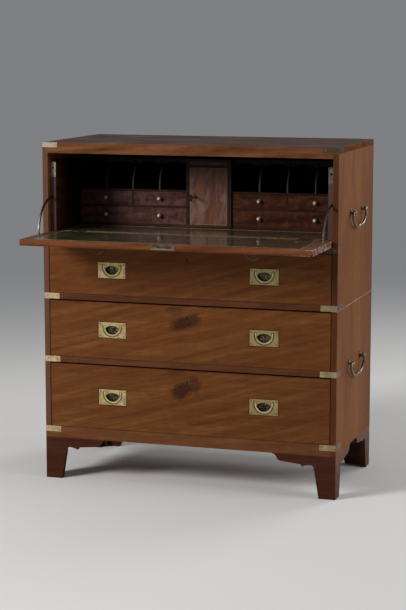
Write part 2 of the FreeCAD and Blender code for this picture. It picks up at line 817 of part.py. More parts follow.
def rule_cove():
    round_edge = rod(cove_radius, V(-half_width, pivot_y, pivot_z), V(half_width, pivot_y, pivot_z))
    reach = cove_radius + overrun
    above = box(-half_width, half_width, pivot_y - reach, pivot_y + reach, writing_z + joint_gap,
                pivot_z + reach)
    return round_edge.cut(above)


def stay_groove():
    """Arc slot open on the outer face of the right side, wider than the stay that runs in it."""
    start = V(fall_half - stay_edge - stay_thick - stay_groove_side, pivot_y, pivot_z)
    end = V(wall_x1 + overrun, pivot_y, pivot_z)
    outer = rod(stay_radius + stay_bar / 2 + stay_groove_gap, start, end)
    inner = rod(stay_radius - stay_bar / 2 - stay_groove_gap, start, end)
    reach = stay_radius + stay_bar
    upper_quarter = box(start.x, end.x, pivot_y, pivot_y + reach, pivot_z - stay_groove_end,
                        pivot_z + reach)
    return outer.cut(inner).common(upper_quarter)


cove = rule_cove()
fixed_hinges = both_sides(fixed_hinge())
floor_leather = box(leather_margin - wall_x0, wall_x0 - leather_margin, pivot_y + floor_leather_front,
                    unit_y - floor_leather_back, writing_z - leather, writing_z)
leaf_end_y = pivot_y + fall_radius + joint_gap + hinge_leaf_width
floor_notch = box(hinge_place - notch_reach, hinge_place + notch_reach, pivot_y,
                  leaf_end_y + leather_hinge_margin, floor_z0, writing_z + fall)
floor_leather = floor_leather.cut(both_sides(floor_notch))
floor = box(-wall_x0, wall_x0, pivot_y, inner_y1, floor_z0, writing_z)
save("secretaire_floor", [floor.cut([cove, floor_leather] + fixed_hinges)])
save("floor_leather", [floor_leather])

catch_wide, catch_thick, catch_high = catch_size
catch_x = (wall_x0 + wall_x1) / 2
catch_z = wall_z1 - catch_top
catch = box(catch_x - catch_wide / 2, catch_x + catch_wide / 2, wall_y0, wall_y0 + catch_thick,
            catch_z - catch_high, catch_z)
catch_hole_z = catch_z - catch_hole_down
catch_face = V(catch_x, wall_y0, catch_hole_z)
catch_bore = rod(catch_hole, catch_face, catch_face + Y_AXIS * catch_hole_deep)
wall = box(wall_x0, wall_x1, wall_y0, wall_y1, floor_z0, wall_z1)
wall = wall.cut([cove, stay_groove(), catch, catch_bore])
rear_wall = box(-wall_x0, wall_x0, inner_y1, wall_y1, floor_z0, wall_z1)
save("secretaire_sides", both_sides(wall) + [rear_wall])
save("secretaire_brass", both_sides(catch.cut(catch_bore)) + fixed_hinges)

# Pigeonhole case: base, shelves, uprights and top, with the cupboard's surround in the middle.
base_z = writing_z + case_base
wide_z = base_z + wide_drawer_opening
small_z0 = wide_z + case_shelf
small_z1 = small_z0 + small_drawer_opening
hole_z0 = small_z1 + case_shelf
case_z = opening_top_z - case_top_gap
hole_z1 = case_z - case_top
pigeonhole_height = hole_z1 - hole_z0
proud_y = unit_y - pilaster
frieze_z = case_z - frieze_height
lap_y = unit_y + frieze_lap
lean_y = unit_y + partition_lean
door_half = cupboard_half - pilaster_width - door_gap
door_y = unit_y + door_sink
door_z0 = base_z + door_gap
door_z1 = frieze_z - door_gap
door_hinge_x = door_half - door / 2
upright_x = cupboard_half - cupboard_upright


def door_pin(z0, z1, radius):
    return rod(radius, V(door_hinge_x, door_y, z0), V(door_hinge_x, door_y, z1))


base = box(-wall_x0, wall_x0, unit_y, inner_y1, writing_z, base_z)
sill = box(-cupboard_half, cupboard_half, proud_y, unit_y, writing_z, base_z)
pin_depth = door_pin_length + door_pin_hole_extra
pin_hole = door_pin_radius + pin_gap
base = joined(base, sill).cut(door_pin(base_z - pin_depth, base_z, pin_hole))
case_top_board = box(-wall_x0, wall_x0, lean_y, inner_y1, hole_z1, case_z)
cupboard_top = box(-cupboard_half, cupboard_half, lap_y, lean_y, hole_z1, case_z)
frieze = joined(box(-cupboard_half, cupboard_half, proud_y, unit_y, frieze_z, case_z),
                box(-upright_x, upright_x, unit_y, lap_y, frieze_z, hole_z1),
                box(-cupboard_half, cupboard_half, unit_y, lap_y, hole_z1, case_z))
frieze = frieze.cut(door_pin(frieze_z, frieze_z + pin_depth, pin_hole))
upright = box(upright_x, cupboard_half, unit_y, inner_y1, base_z, hole_z1)
pilaster_board = box(cupboard_half - pilaster_width, cupboard_half, proud_y, unit_y, base_z, frieze_z)
low_shelf = box(cupboard_half, wall_x0, unit_y, inner_y1, wide_z, small_z0)
high_shelf = box(cupboard_half, wall_x0, unit_y, inner_y1, small_z1, hole_z0)
bank_middle = (cupboard_half + wall_x0) / 2
drawer_divider = box(bank_middle - case_shelf / 2, bank_middle + case_shelf / 2, unit_y, inner_y1,
                     small_z0, small_z1)
case_boards = [base, case_top_board, cupboard_top, frieze]
for piece in (upright, pilaster_board, low_shelf, high_shelf, drawer_divider):
    case_boards += both_sides(piece)
save("pigeonhole_case", case_boards)

# Partitions with scrolled front edges, and an arched valance over each pigeonhole.


def scrolled_partition(x):
    def front_edge(shares):
        lean = unit_y + shares[0] * partition_lean
        return V(x - partition / 2, lean, hole_z0 + shares[1] * pigeonhole_height)

    low_through, low_end, high_through, high_end = [front_edge(pair) for pair in partition_curve_shares]
    start = front_edge((0, 0))
    steps = [(low_through, low_end), (high_through, high_end), V(start.x, inner_y1, hole_z1),
             V(start.x, inner_y1, hole_z0), start]
    return slab(start, steps, X_AXIS * partition)


def arched_valance(x0, x1):
    y = unit_y + valance_set_back
    low = hole_z1 - valance_height
    crown = V((x0 + x1) / 2, y, low + valance_height * valance_rise_share)
    start = V(x0, y, low)
    steps = [(crown, V(x1, y, low)), V(x1, y, hole_z1), V(x0, y, hole_z1), start]
    return slab(start, steps, Y_AXIS * valance)


hole_pitch = (wall_x0 - cupboard_half) / pigeonholes_per_bank
partitions = []
for index in range(pigeonholes_per_bank):
    hole_x0 = cupboard_half + index * hole_pitch + (partition / 2 if index else 0)
    last = index == pigeonholes_per_bank - 1
    hole_x1 = cupboard_half + (index + 1) * hole_pitch - (0 if last else partition / 2)
    partitions += both_sides(arched_valance(hole_x0, hole_x1))
    if not last:
        partitions += both_sides(scrolled_partition(cupboard_half + (index + 1) * hole_pitch))
save("pigeonhole_partitions", partitions)

# Cupboard door on two pivot pins, with its escutcheon and a key that turns in it.
door_face_y = door_y - door / 2
keyhole = V(-key_place, door_face_y, door_z0 + key_up_share * (door_z1 - door_z0))
door_pins = [door_pin(base_z - door_pin_length, door_z0 + door_pin_length, door_pin_radius),
             door_pin(door_z1 - door_pin_length, frieze_z + door_pin_length, door_pin_radius)]
key_bore = rod(key_radius + pin_gap, keyhole, keyhole + Y_AXIS * key_in)
plate_half_wide, plate_half_high = door_escutcheon_half
door_plate = moved(oblong(plate_half_wide, plate_half_high, 0, escutcheon), keyhole)
door_board = box(-door_half, door_hinge_x, door_face_y, door_face_y + door, door_z0, door_z1)
door_edge = rod(door / 2, V(door_hinge_x, door_y, door_z0), V(door_hinge_x, door_y, door_z1))
door_board = joined(door_board, door_edge).cut(door_pins + [door_plate, key_bore])
save("cupboard_door", [door_board])
save("door_brass", door_pins + [door_plate.cut(key_bore)])

bow_half_along, bow_half_high = key_bow_half
bow_y = keyhole - Y_AXIS * (key_reach + bow_half_along - key_bow_bar)
bow = oblong(bow_half_along, bow_half_high, -key_bow_bar / 2, key_bow_bar / 2)
bow_hole = oblong(bow_half_along - key_bow_bar, bow_half_high - key_bow_bar, -key_bow_bar, key_bow_bar)
bow = moved(turned(bow.cut(bow_hole), ORIGIN, Z_AXIS, QUARTER_TURN), bow_y)
shank = rod(key_radius, keyhole + Y_AXIS * key_in, keyhole - Y_AXIS * key_reach)
collar_y = keyhole - Y_AXIS * slide_gap
collar = rod(key_collar, collar_y, collar_y - Y_AXIS * key_collar_length)
save("cupboard_key", [joined(shank, collar, bow)])

# Small drawers: open boxes with turned bone knobs.


def knob(place):
    """Turned along Y: a stem in the drawer front, a base, a neck and a round head."""
    head_y = knob_radius - knob_reach
    neck_y = head_y + math.sqrt(knob_radius ** 2 - knob_neck ** 2)
    start = V(0, knob_stem_length, 0)
    steps = [V(knob_stem, knob_stem_length, 0), V(knob_stem, 0, 0), V(knob_base, 0, 0),
             V(knob_base, -knob_base_thick, 0), V(knob_neck, -knob_base_thick, 0), V(knob_neck, neck_y, 0),
             (V(knob_radius, head_y, 0), V(0, -knob_reach, 0)), start]
    turned_knob = Part.Face(outline(start, steps)).revolve(ORIGIN, Y_AXIS, 4 * QUARTER_TURN)
    return moved(Part.Solid(turned_knob.Shells[0]), place)


def small_drawers(name, x0, x1, z0, z1, knob_xs):
    """A box between x0 and x1 on the right, and its twin on the left."""
    a = x0 + small_gap
    b = x1 - small_gap
    low = z0 + slide_gap
    high = z1 - small_top_gap
    y0 = unit_y + small_front
    y1 = inner_y1 - small_back_gap
    floor_low = low + small_bottom_lift
    knobs = [knob(V(x, unit_y, (z0 + z1) / 2)) for x in knob_xs]
    front = box(a, b, unit_y, y0, low, high).cut(knobs)
    near = box(a, a + small_side, y0, y1, low, high)
    far = box(b - small_side, b, y0, y1, low, high)
    bottom = box(a + small_side, b - small_side, y0, y1, floor_low, floor_low + small_bottom)
    back = box(a + small_side, b - small_side, y1 - small_side, y1, floor_low + small_bottom, high)
    boards = [front, near, far, bottom, back]
    save("right_%s_drawer" % name, boards)
    save("left_%s_drawer" % name, [left_of(piece) for piece in boards])
    save("right_%s_drawer_knob" % name, knobs)
    save("left_%s_drawer_knob" % name, [left_of(one) for one in knobs])


inner_knob_x = (cupboard_half + bank_middle) / 2
outer_knob_x = (bank_middle + wall_x0) / 2
small_drawers("inner", cupboard_half, bank_middle - case_shelf / 2, small_z0, small_z1, [inner_knob_x])
small_drawers("outer", bank_middle + case_shelf / 2, wall_x0, small_z0, small_z1, [outer_knob_x])
small_drawers("wide", cupboard_half, wall_x0, base_z, wide_z, [inner_knob_x, outer_knob_x])
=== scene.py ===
import bpy
import bmesh
import math
from mathutils import Matrix, Vector, noise


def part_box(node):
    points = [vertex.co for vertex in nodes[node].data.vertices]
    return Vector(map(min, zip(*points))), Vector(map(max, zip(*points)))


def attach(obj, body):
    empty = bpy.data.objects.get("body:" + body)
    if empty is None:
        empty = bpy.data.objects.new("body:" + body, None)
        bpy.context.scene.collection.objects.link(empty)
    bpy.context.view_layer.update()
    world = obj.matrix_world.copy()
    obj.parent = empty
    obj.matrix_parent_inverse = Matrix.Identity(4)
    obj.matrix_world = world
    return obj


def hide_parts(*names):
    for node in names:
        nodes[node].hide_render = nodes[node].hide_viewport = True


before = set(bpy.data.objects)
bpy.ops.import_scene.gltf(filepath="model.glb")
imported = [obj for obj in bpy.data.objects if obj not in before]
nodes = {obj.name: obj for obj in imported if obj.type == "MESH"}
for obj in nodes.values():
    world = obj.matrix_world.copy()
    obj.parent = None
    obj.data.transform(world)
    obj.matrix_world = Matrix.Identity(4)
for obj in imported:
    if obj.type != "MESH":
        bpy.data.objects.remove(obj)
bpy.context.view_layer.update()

# Carcase of the lower half.
# Side boards, bottom, base rails and drawer divider of solid red-brown camphor wood, dovetailed and
# rubbed up with oil and wax. The grain runs up the sides and along the rails.

GRAIN_RUN = 0.045
GRAIN_STRETCH = {"X": (GRAIN_RUN, 1, 1), "Y": (1, GRAIN_RUN, 1), "Z": (1, 1, GRAIN_RUN)}
FIGURE_SPREAD = 0.02
FIGURE_LEAN = 0.12
RED_DRIFT = (0.92, 0.7, 0.62)
WAX_ROUGHNESS = 0.2


def put(tree, kind, sockets, output=0, **settings):
    """What a new node of a finish gives. Each socket gets a value, or another node's output."""
    node = tree.nodes.new("ShaderNode" + kind)
    for name, value in settings.items():
        setattr(node, name, value)
    for key, value in sockets.items():
        if isinstance(value, bpy.types.NodeSocket):
            tree.links.new(value, node.inputs[key])
        else:
            node.inputs[key].default_value = value
    return node.outputs[output]


def finish_named(name, steady):
    """A new finish, its tree and its shader. A steady value is the same all over the surface."""
    material = bpy.data.materials.new(name)
    material.use_nodes = True
    shader = material.node_tree.nodes["Principled BSDF"]
    for socket, value in steady.items():
        shader.inputs[socket].default_value = value
    return material, material.node_tree, shader


def spot(tree):
    """Where the surface is, in the desk's own frame."""
    return put(tree, "TexCoord", {}, "Object")


def along_axis(tree, axis):
    return put(tree, "SeparateXYZ", {0: spot(tree)}, axis)


def moved(tree, place, **sockets):
    """A place shifted, turned or drawn out, for the pattern on it."""
    return put(tree, "Mapping", {"Vector": place, **sockets})


def mottle(tree, place, scale, detail=3.0, distortion=0.0):
    sockets = {"Vector": place, "Scale": scale, "Detail": detail, "Distortion": distortion}
    return put(tree, "TexNoise", sockets)


def rescaled(tree, value, low, high, to_low, to_high):
    return put(tree, "MapRange", {0: value, 1: low, 2: high, 3: to_low, 4: to_high})


def climb(tree, value, low, high, most=1.0):
    """A share that grows from nothing where the value is low to the most where it is high."""
    return rescaled(tree, value, low, high, 0.0, most)


def span(tree, axis, start, end, most=1.0, base=0.0):
    """The same, from a start to an end along an axis, both counted from the base."""
    return climb(tree, along_axis(tree, axis), base + start, base + end, most)


def reckoned(tree, operation, *values):
    return put(tree, "Math", dict(enumerate(values)), operation=operation)


def times(tree, first, second):
    return reckoned(tree, "MULTIPLY", first, second)


def less(tree, first, second):
    return reckoned(tree, "SUBTRACT", first, second)


def blended(tree, share, first, second):
    """Two colours mixed. Each is a tone, or another node's output."""
    sockets = {0: share}
    for key, tone in ((6, first), (7, second)):
        sockets[key] = tone if isinstance(tone, bpy.types.NodeSocket) else (*tone, 1.0)
    return put(tree, "Mix", sockets, 2, data_type="RGBA")


def layered(tree, colour, *layers):
    """Tones laid over a colour in turn, each by its share."""
    for share, tone in layers:
        colour = blended(tree, share, colour, tone)
    return colour


def shaded(tone, share):
    return tuple(share * c for c in tone)


def toned(tree, share, tones, places):
    """Colour from dark through middle to pale."""
    ramp = tree.nodes.new("ShaderNodeValToRGB")
    tree.links.new(share, ramp.inputs[0])
    stops = ramp.color_ramp.elements
    while len(stops) < len(tones):
        stops.new(0.5)
    for stop, tone, place in zip(stops, tones, places):
        stop.position = place
        stop.color = (*tone, 1.0)
    return ramp.outputs[0]


def worn_edge(tree, radius):
    """How far a spot is on a sharp edge, from 0 to 1, and the normal rounded there."""
    rounded = put(tree, "Bevel", {"Radius": radius}, samples=4)
    flat = put(tree, "NewGeometry", {}, "Normal")
    facing = put(tree, "VectorMath", {0: rounded, 1: flat}, "Value", operation="DOT_PRODUCT")
    return climb(tree, facing, 0.995, 0.86), rounded


def connect(tree, shader, colour, rough, height, **relief):
    """Colour, roughness and relief led to the shader."""
    tree.links.new(colour, shader.inputs["Base Color"])
    tree.links.new(rough, shader.inputs["Roughness"])
    tree.links.new(put(tree, "Bump", {"Height": height, **relief}), shader.inputs["Normal"])


def wood_face(tree, along, seed, tones, flame, slant=FIGURE_LEAN):
    """Colour, pores and streaks of one wood: board-wide bands, a slanting flame figure, red drifts."""
    place = spot(tree)
    run = moved(tree, place, Location=seed, Scale=GRAIN_STRETCH[along])
    bands = mottle(tree, run, 11.0, 2.0, 0.8)
    streaks = mottle(tree, run, 90.0, 6.0, 0.5)
    lean = {"X": (0, slant, 0), "Y": (0.08, 0, 0), "Z": (0, -0.05, 0)}[along]
    turned = moved(tree, place, Location=seed, Rotation=lean)
    leaning = moved(tree, turned, Scale=[FIGURE_SPREAD + s for s in GRAIN_STRETCH[along]])
    feather = mottle(tree, leaning, 62.0, 7.0, 1.0)
    sockets = {"Vector": leaning, "Scale": 7.0, "Distortion": 6.0, "Detail": 6.0, "Detail Scale": 2.2}
    direction = "X" if along == "Z" else "Z"
    waves = put(tree, "TexWave", sockets, "Fac", bands_direction=direction)
    shimmer = mottle(tree, place, 20.0, 4.0, 0.9)
    share = times(tree, bands, 0.22)
    for part, weight in ((streaks, 0.22), (feather, 0.40), (shimmer, 0.16), (waves, flame)):
        share = reckoned(tree, "MULTIPLY_ADD", part, weight, share)
    middle = 0.5 + flame / 2
    colour = toned(tree, share, tones, (middle - 0.15, middle, middle + 0.15))
    drift = climb(tree, mottle(tree, leaning, 7.0, 5.0, 0.8), 0.46, 0.7, 0.5)
    red = tuple(shift * c for shift, c in zip(RED_DRIFT, tones[1]))
    pore = climb(tree, mottle(tree, run, 950.0, 2.0), 0.57, 0.72)
    dark = (times(tree, pore, 0.5), shaded(tones[0], 0.42))
    return layered(tree, colour, (drift, red), dark), pore, streaks


def polished(name, along, seed, tones, flame=0.1, rough=(0.34, 0.5), wear=0.5, coat=0.05, gloss=0.1,
             slant=FIGURE_LEAN, dressing=None):
    """Waxed wood with rubbed edges. A dressing adds what one board alone shows."""
    steady = {"Specular IOR Level": gloss, "Coat Weight": coat, "Coat Roughness": WAX_ROUGHNESS}
    material, tree, shader = finish_named(name, steady)
    colour, pore, streaks = wood_face(tree, along, seed, tones, flame, slant)
    if dressing:
        colour = dressing(tree, colour)
    edge, rounded = worn_edge(tree, 0.0016)
    patchy = climb(tree, mottle(tree, spot(tree), 23.0, 4.0), 0.4, 0.64)
    rubbed = times(tree, times(tree, edge, patchy), wear)
    pale = tuple(1.4 * c + 0.015 for c in tones[2])
    colour = blended(tree, rubbed, colour, pale)
    height = less(tree, times(tree, streaks, 0.35), pore)
    connect(
        tree, shader, colour, rescaled(tree, streaks, 0.3, 0.7, *rough), height, Strength=0.35,
        Distance=0.0002, Normal=rounded)
    return material


def coat_with(material, *names):
    for name in names:
        nodes[name].data.materials.clear()
        nodes[name].data.materials.append(material)


front_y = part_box("lower_sides")[0].y
rear_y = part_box("lower_sides")[1].y
half_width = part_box("lower_sides")[1].x
seam_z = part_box("upper_sides")[0].z
smoke_brown = (0.105, 0.033, 0.011)
rear_brown = (0.098, 0.028, 0.010)
seam_highlight_pale = (0.36, 0.23, 0.16)
edge_dirty = (0.044, 0.0095, 0.0018)
edge_bleached = (0.088, 0.042, 0.030)
bleached_run = (0.1, -0.1)


def side_marks(tree, colour):
    """Smoky patches, a darker rear, a pale seam between the halves that is a painted highlight on the arris
    as well as rubbed wood, and dirty front edges.
    """
    place = spot(tree)
    upright = moved(tree, place, Scale=(1.0, 1.0, 0.4))
    smoke = climb(tree, mottle(tree, upright, 8.0, 5.0, 0.8), 0.46, 0.68, 0.5)
    rear = span(tree, "Y", -0.11, 0.0, 0.5, rear_y)
    # Painted highlight: the pale line along the seam stands for light catching the lower half's top arris.
    off_seam = reckoned(tree, "ABSOLUTE", less(tree, along_axis(tree, "Z"), seam_z))
    patchy = rescaled(tree, mottle(tree, place, 30.0, 4.0), 0.36, 0.6, 0.25, 0.85)
    seam = times(tree, climb(tree, off_seam, 0.0028, 0.0012), patchy)
    ahead = span(tree, "Y", 0.0008, 0.0003, 0.75, front_y)
    edge = blended(tree, span(tree, "X", *bleached_run), edge_dirty, edge_bleached)
    return layered(tree, colour, (smoke, smoke_brown), (rear, rear_brown), (seam, seam_highlight_pale), (ahead, edge))


side_tones = ((0.140, 0.046, 0.0115), (0.186, 0.066, 0.0165), (0.240, 0.093, 0.0255))
rail_tones = ((0.086, 0.027, 0.0075), (0.126, 0.043, 0.0122), (0.176, 0.067, 0.021))
# The dividers' tones are darker than the rails': painted shade between the drawers, as well as dirt.
divider_shade_tones = ((0.052, 0.015, 0.0045), (0.084, 0.027, 0.0085), (0.130, 0.047, 0.017))
side_wood = polished(
    "side_boards_waxed", "Z", (3.1, 0.7, 0.2), side_tones, flame=0.08, rough=(0.48, 0.66), coat=0.0,
    dressing=side_marks)
divider_wood = polished("dividers_dark", "X", (1.9, 0.2, 1.4), divider_shade_tones, flame=0.06, wear=0.7)
coat_with(side_wood, "lower_sides", "upper_sides")
coat_with(polished("rails_waxed", "X", (1.3, 2.2, 0.4), rail_tones, flame=0.06), "lower_bottom")
coat_with(divider_wood, "lower_divider", "upper_bottom", "upper_divider")

# Backs, dust top and locating pegs.
# Planks of plain pale pine, sawn, planed and left bare where nobody looks, gone grey-brown with
# dust. The backs are nailed to the carcase with small iron clout nails.


def bare_wood(name, along, seed, tones, dressing=None):
    """Unpolished lining wood: dry, matt and a little dirty."""
    material, tree, shader = finish_named(name, {})
    colour, pore, streaks = wood_face(tree, along, seed, tones, 0.1)
    if dressing:
        colour = dressing(tree, colour)
    dirt = climb(tree, mottle(tree, spot(tree), 7.0, 5.0, 0.6), 0.5, 0.78, 0.4)
    edge, rounded = worn_edge(tree, 0.0012)
    rubbed = (times(tree, edge, 0.35), tones[2])
    colour = layered(tree, colour, (dirt, shaded(tones[0], 0.35)), rubbed)
    rough = rescaled(tree, streaks, 0.3, 0.7, 0.62, 0.82)
    connect(
        tree, shader, colour, rough, less(tree, streaks, pore), Strength=0.5, Distance=0.0003,
        Normal=rounded)
    return material


lining_tones = ((0.125, 0.070, 0.032), (0.215, 0.130, 0.064), (0.310, 0.200, 0.105))
joint_dust = (0.012, 0.008, 0.005)
joint_halves = (0.0018, 0.0008)
plank_count = 5
plank_low, plank_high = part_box("lower_back")
plank_pitch = (plank_high.x - plank_low.x) / plank_count


def plank_joints(tree, colour):
    """Each plank a little lighter or darker than the next, with dust in the joints between them."""
    along = reckoned(tree, "DIVIDE", less(tree, along_axis(tree, "X"), plank_low.x), plank_pitch)
    which = reckoned(tree, "FLOOR", along)
    shade = put(tree, "TexWhiteNoise", {"W": which}, noise_dimensions="1D")
    darker = (climb(tree, shade, 0.0, 1.0, 0.45), shaded(lining_tones[0], 0.5))
    off_joint = reckoned(tree, "PINGPONG", along, 0.5)
    soft, hard = [half / plank_pitch for half in joint_halves]
    return layered(tree, colour, darker, (climb(tree, off_joint, soft, hard, 0.9), joint_dust))


plank_wood = bare_wood("back_planks_bare", "Z", (0.3, 4.4, 1.7), lining_tones, plank_joints)
coat_with(plank_wood, "lower_back", "upper_back", "locating_pegs")
coat_with(bare_wood("dust_top_bare", "X", (6.2, 1.1, 0.9), lining_tones), "lower_dust_top")


def old_iron(name, tone):
    """Dull iron: brown rust blooms over a dark skin."""
    material, tree, shader = finish_named(name, {"Metallic": 0.6})
    blooms = mottle(tree, spot(tree), 300.0, 4.0, 0.5)
    rust = (1.9 * tone[0] + 0.02, 1.2 * tone[1] + 0.006, 0.8 * tone[2])
    colour = blended(tree, climb(tree, blooms, 0.4, 0.65), tone, rust)
    rough = rescaled(tree, blooms, 0.3, 0.7, 0.45, 0.75)
    connect(tree, shader, colour, rough, blooms, Strength=0.4, Distance=0.0002)
    return material


scene = bpy.context.scene


def settled(name, mesh, *materials):
    data = bpy.data.meshes.new(name)
    mesh.to_mesh(data)
    mesh.free()
    for material in materials:
        data.materials.append(material)
    return data


def placed(name, data):
    """A new object at the origin."""
    item = bpy.data.objects.new(name, data)
    scene.collection.objects.link(item)
    return item


def piece_from(name, mesh, body, slot, *materials):
    """A finished piece, riding on a body."""
    piece = placed(name, settled(name, mesh, *materials))
    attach(piece, body)
    return piece


nail_iron = old_iron("nail_iron", (0.030, 0.020, 0.015))
nail_radius = 0.0032
nail_crown = 0.55 * nail_radius
nail_proud = 0.0007
nail_inset = 0.011
nail_sway = 0.002
nail_sway_turns = (7.0, 9.0)
nail_facets = 9
nail_place_shares = (0.2, 0.8)


def nails(name, node, body):
    """Two nails at each end of each plank, hammered into low facets."""
    low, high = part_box(node)
    pitch = (high.x - low.x) / plank_count
    mesh = bmesh.new()
    for plank in range(plank_count):
        for share in nail_place_shares:
            x = low.x + (plank + share) * pitch
            sway = nail_sway * math.sin(nail_sway_turns[0] * plank + nail_sway_turns[1] * share)
            for z in (low.z + nail_inset, high.z - nail_inset):
                place = Matrix.Translation((x, high.y, z + sway))
                stand = place @ Matrix.Rotation(-math.pi / 2, 4, "X")
                bmesh.ops.create_cone(
                    mesh, cap_ends=True, segments=nail_facets, radius1=nail_radius, radius2=nail_crown,
                    depth=2 * nail_proud, matrix=stand)
    piece_from(name, mesh, body, "brass", nail_iron)


nails("lower_back_nails", "lower_back", "lower_chest")
nails("upper_back_nails", "upper_back", "upper_chest")

# Bracket feet.
# Sawn scroll brackets, mitred at the corners and glued to blocks behind. The same wood as the
# carcase, but scuffed, dark and red from a century of floor polish.

foot_tones = ((0.029, 0.0058, 0.0016), (0.047, 0.0112, 0.0031), (0.074, 0.020, 0.0065))
foot_outer = (0.125, 0.049, 0.021)
foot_outer_run = (0.03, 0.12)


def off_middle(tree):
    """How far a spot is to the left or right of the middle."""
    return reckoned(tree, "ABSOLUTE", along_axis(tree, "X"))


def on_sides(tree, most):
    """The outermost faces, left and right."""
    return climb(tree, off_middle(tree), half_width - 0.0006, half_width - 0.0002, most)


def paler_outside(tree, colour):
    """The brackets' outer faces on the sides keep the sides' colour near the case."""
    above = span(tree, "Z", *foot_outer_run)
    return blended(tree, times(tree, on_sides(tree, 0.85), above), colour, foot_outer)


foot_wood = polished(
    "feet_dark", "X", (8.2, 0.1, 3.3), foot_tones, flame=0.06, wear=0.6, dressing=paler_outside)
coat_with(foot_wood, "bracket_feet")

# Flush brass straps of the lower half.
# Strips of rolled brass let in flush round the front corners at each rail, held by countersunk
# slotted screws. The brass is rubbed bright in places and brown-green in others, and the
# right-hand straps are painted darker as shade, near black under the fall.


def aged_brass(name, bright, dull, tarnish, soiled=0.45, rough=(0.26, 0.48), dressing=None,
               crust=None, metal=1.0):
    """Old brass: cloudy tarnish, dirt in patches and edges rubbed bright. A crust hides the metal."""
    material, tree, shader = finish_named(name, {"Metallic": metal, "Specular IOR Level": 0.05})
    place = spot(tree)
    clouds = mottle(tree, place, 34.0, 5.0, 0.7)
    specks = mottle(tree, place, 420.0)
    soil = times(tree, climb(tree, specks, 0.5, 0.72), climb(tree, clouds, 0.42, 0.7))
    edge, rounded = worn_edge(tree, 0.0005)
    rubbed = (times(tree, edge, 0.6), shaded(bright, 1.2))
    colour = blended(tree, climb(tree, clouds, 0.36, 0.64), bright, dull)
    colour = layered(tree, colour, (times(tree, soil, soiled), tarnish), rubbed)
    if dressing:
        colour = dressing(tree, colour)
    if crust:
        tree.links.new(less(tree, 1.0, crust(tree)), shader.inputs["Metallic"])
    dullness = reckoned(tree, "MULTIPLY_ADD", specks, 0.4, clouds)
    connect(
        tree, shader, colour, rescaled(tree, dullness, 0.5, 0.9, *rough), specks, Strength=0.25,
        Distance=0.00012, Normal=rounded)
    return material


right_run = (0.36, 0.40)
upper_run = (0.70, 0.78)
corner_run = (1.06, 1.10)
low_leg_run = (1.0, 0.95)


def high_right(tree):
    """The right-hand straps above the middle, painted near black: the fall's shadow on the strap under it,
    and black-green patina higher up.
    """
    return times(tree, span(tree, "X", *right_run), span(tree, "Z", *upper_run, 0.92))


def facing_axis(tree, axis):
    """How far a face looks along an axis, from -1 to 1."""
    normal = put(tree, "NewGeometry", {}, "Normal")
    return put(tree, "SeparateXYZ", {0: normal}, axis)


corner_grey = (0.25, 0.23, 0.20)
right_shade_brown = (0.14, 0.092, 0.045)
leg_brown = (0.11, 0.07, 0.038)
leg_copper = (0.150, 0.080, 0.040)
shadow_and_patina_black = (0.042, 0.032, 0.017)
brass_dust = (0.062, 0.052, 0.046)


def patinated(tree, colour):
    """Top corners gone grey, the right-hand straps painted browner as shade and near black above the
    middle, the legs on the sides dirty, their upper faces dull with dust.
    """
    top = span(tree, "Z", *corner_run, 0.6)
    # Painted shade: the right-hand straps browner.
    right = span(tree, "X", *right_run, 0.45)
    legs = on_sides(tree, 0.8)
    low_legs = times(tree, legs, span(tree, "Z", *low_leg_run))
    crust = blended(tree, low_legs, shadow_and_patina_black, leg_copper)
    upward = climb(tree, facing_axis(tree, "Z"), 0.6, 0.9, 0.85)
    return layered(
        tree, colour, (top, corner_grey), (right, right_shade_brown), (legs, leg_brown),
        (high_right(tree), crust), (upward, brass_dust))


strap_brass = aged_brass(
    "strap_brass", (0.72, 0.58, 0.36), (0.42, 0.315, 0.168), (0.07, 0.055, 0.03), dressing=patinated,
    crust=high_right)
coat_with(strap_brass, "lower_brass_straps", "upper_brass_straps")

screw_brass = aged_brass("screw_brass", (0.50, 0.38, 0.19), (0.30, 0.22, 0.10), (0.04, 0.03, 0.018))
screw_dirt = aged_brass("screw_dirt", (0.05, 0.038, 0.022), (0.03, 0.022, 0.013), (0.012, 0.01, 0.007))
SCREW_RADIUS = 0.0025
SCREW_FACETS = 20
SCREW_RIM_SHARE = 1.22
SCREW_PROUD = 0.00025
SCREW_SLOT = 0.0009
SLOT_DEPTH = 1.6 * SCREW_PROUD
SLOT_FIRST_TURN, SLOT_NEXT_TURN = 11.0, 37.0
SCREW_FACE_Z = 0.9 * SCREW_PROUD


def cut_across(mesh, point, normal):
    """New edges where a plane crosses the mesh."""
    everything = mesh.verts[:] + mesh.edges[:] + mesh.faces[:]
    bmesh.ops.bisect_plane(mesh, geom=everything, plane_co=point, plane_no=normal)


def pulled(mesh, faces, way):
    """Faces extruded along a way, which gives a flat outline its thickness, and turned outward."""
    copied = bmesh.ops.extrude_face_region(mesh, geom=faces)["geom"]
    corners = [v for v in copied if isinstance(v, bmesh.types.BMVert)]
    bmesh.ops.translate(mesh, vec=way, verts=corners)
    bmesh.ops.recalc_face_normals(mesh, faces=mesh.faces[:])


def screw_shape(radius):
    """A slotted countersunk head, its axis up Z and its face just proud of the brass."""
    mesh = bmesh.new()
    bmesh.ops.create_cone(
        mesh, cap_ends=True, segments=SCREW_FACETS, radius1=SCREW_RIM_SHARE * radius, radius2=radius,
        depth=2 * SCREW_PROUD)
    for side in (-1, 1):
        cut_across(mesh, (0, side * SCREW_SLOT / 2, 0), (0, 1, 0))
    tops = [f for f in mesh.faces if f.calc_center_median().z > SCREW_FACE_Z]
    slot = [f for f in tops if abs(f.calc_center_median().y) < SCREW_SLOT / 2]
    pulled(mesh, slot, (0, 0, -SLOT_DEPTH))
    bmesh.ops.delete(mesh, geom=[f for f in slot if f.is_valid], context="FACES_ONLY")
    bmesh.ops.recalc_face_normals(mesh, faces=mesh.faces[:])
    for face in mesh.faces:
        face.material_index = 0 if face.calc_center_median().z > SCREW_FACE_Z else 1
    return settled("screw_shape", mesh)


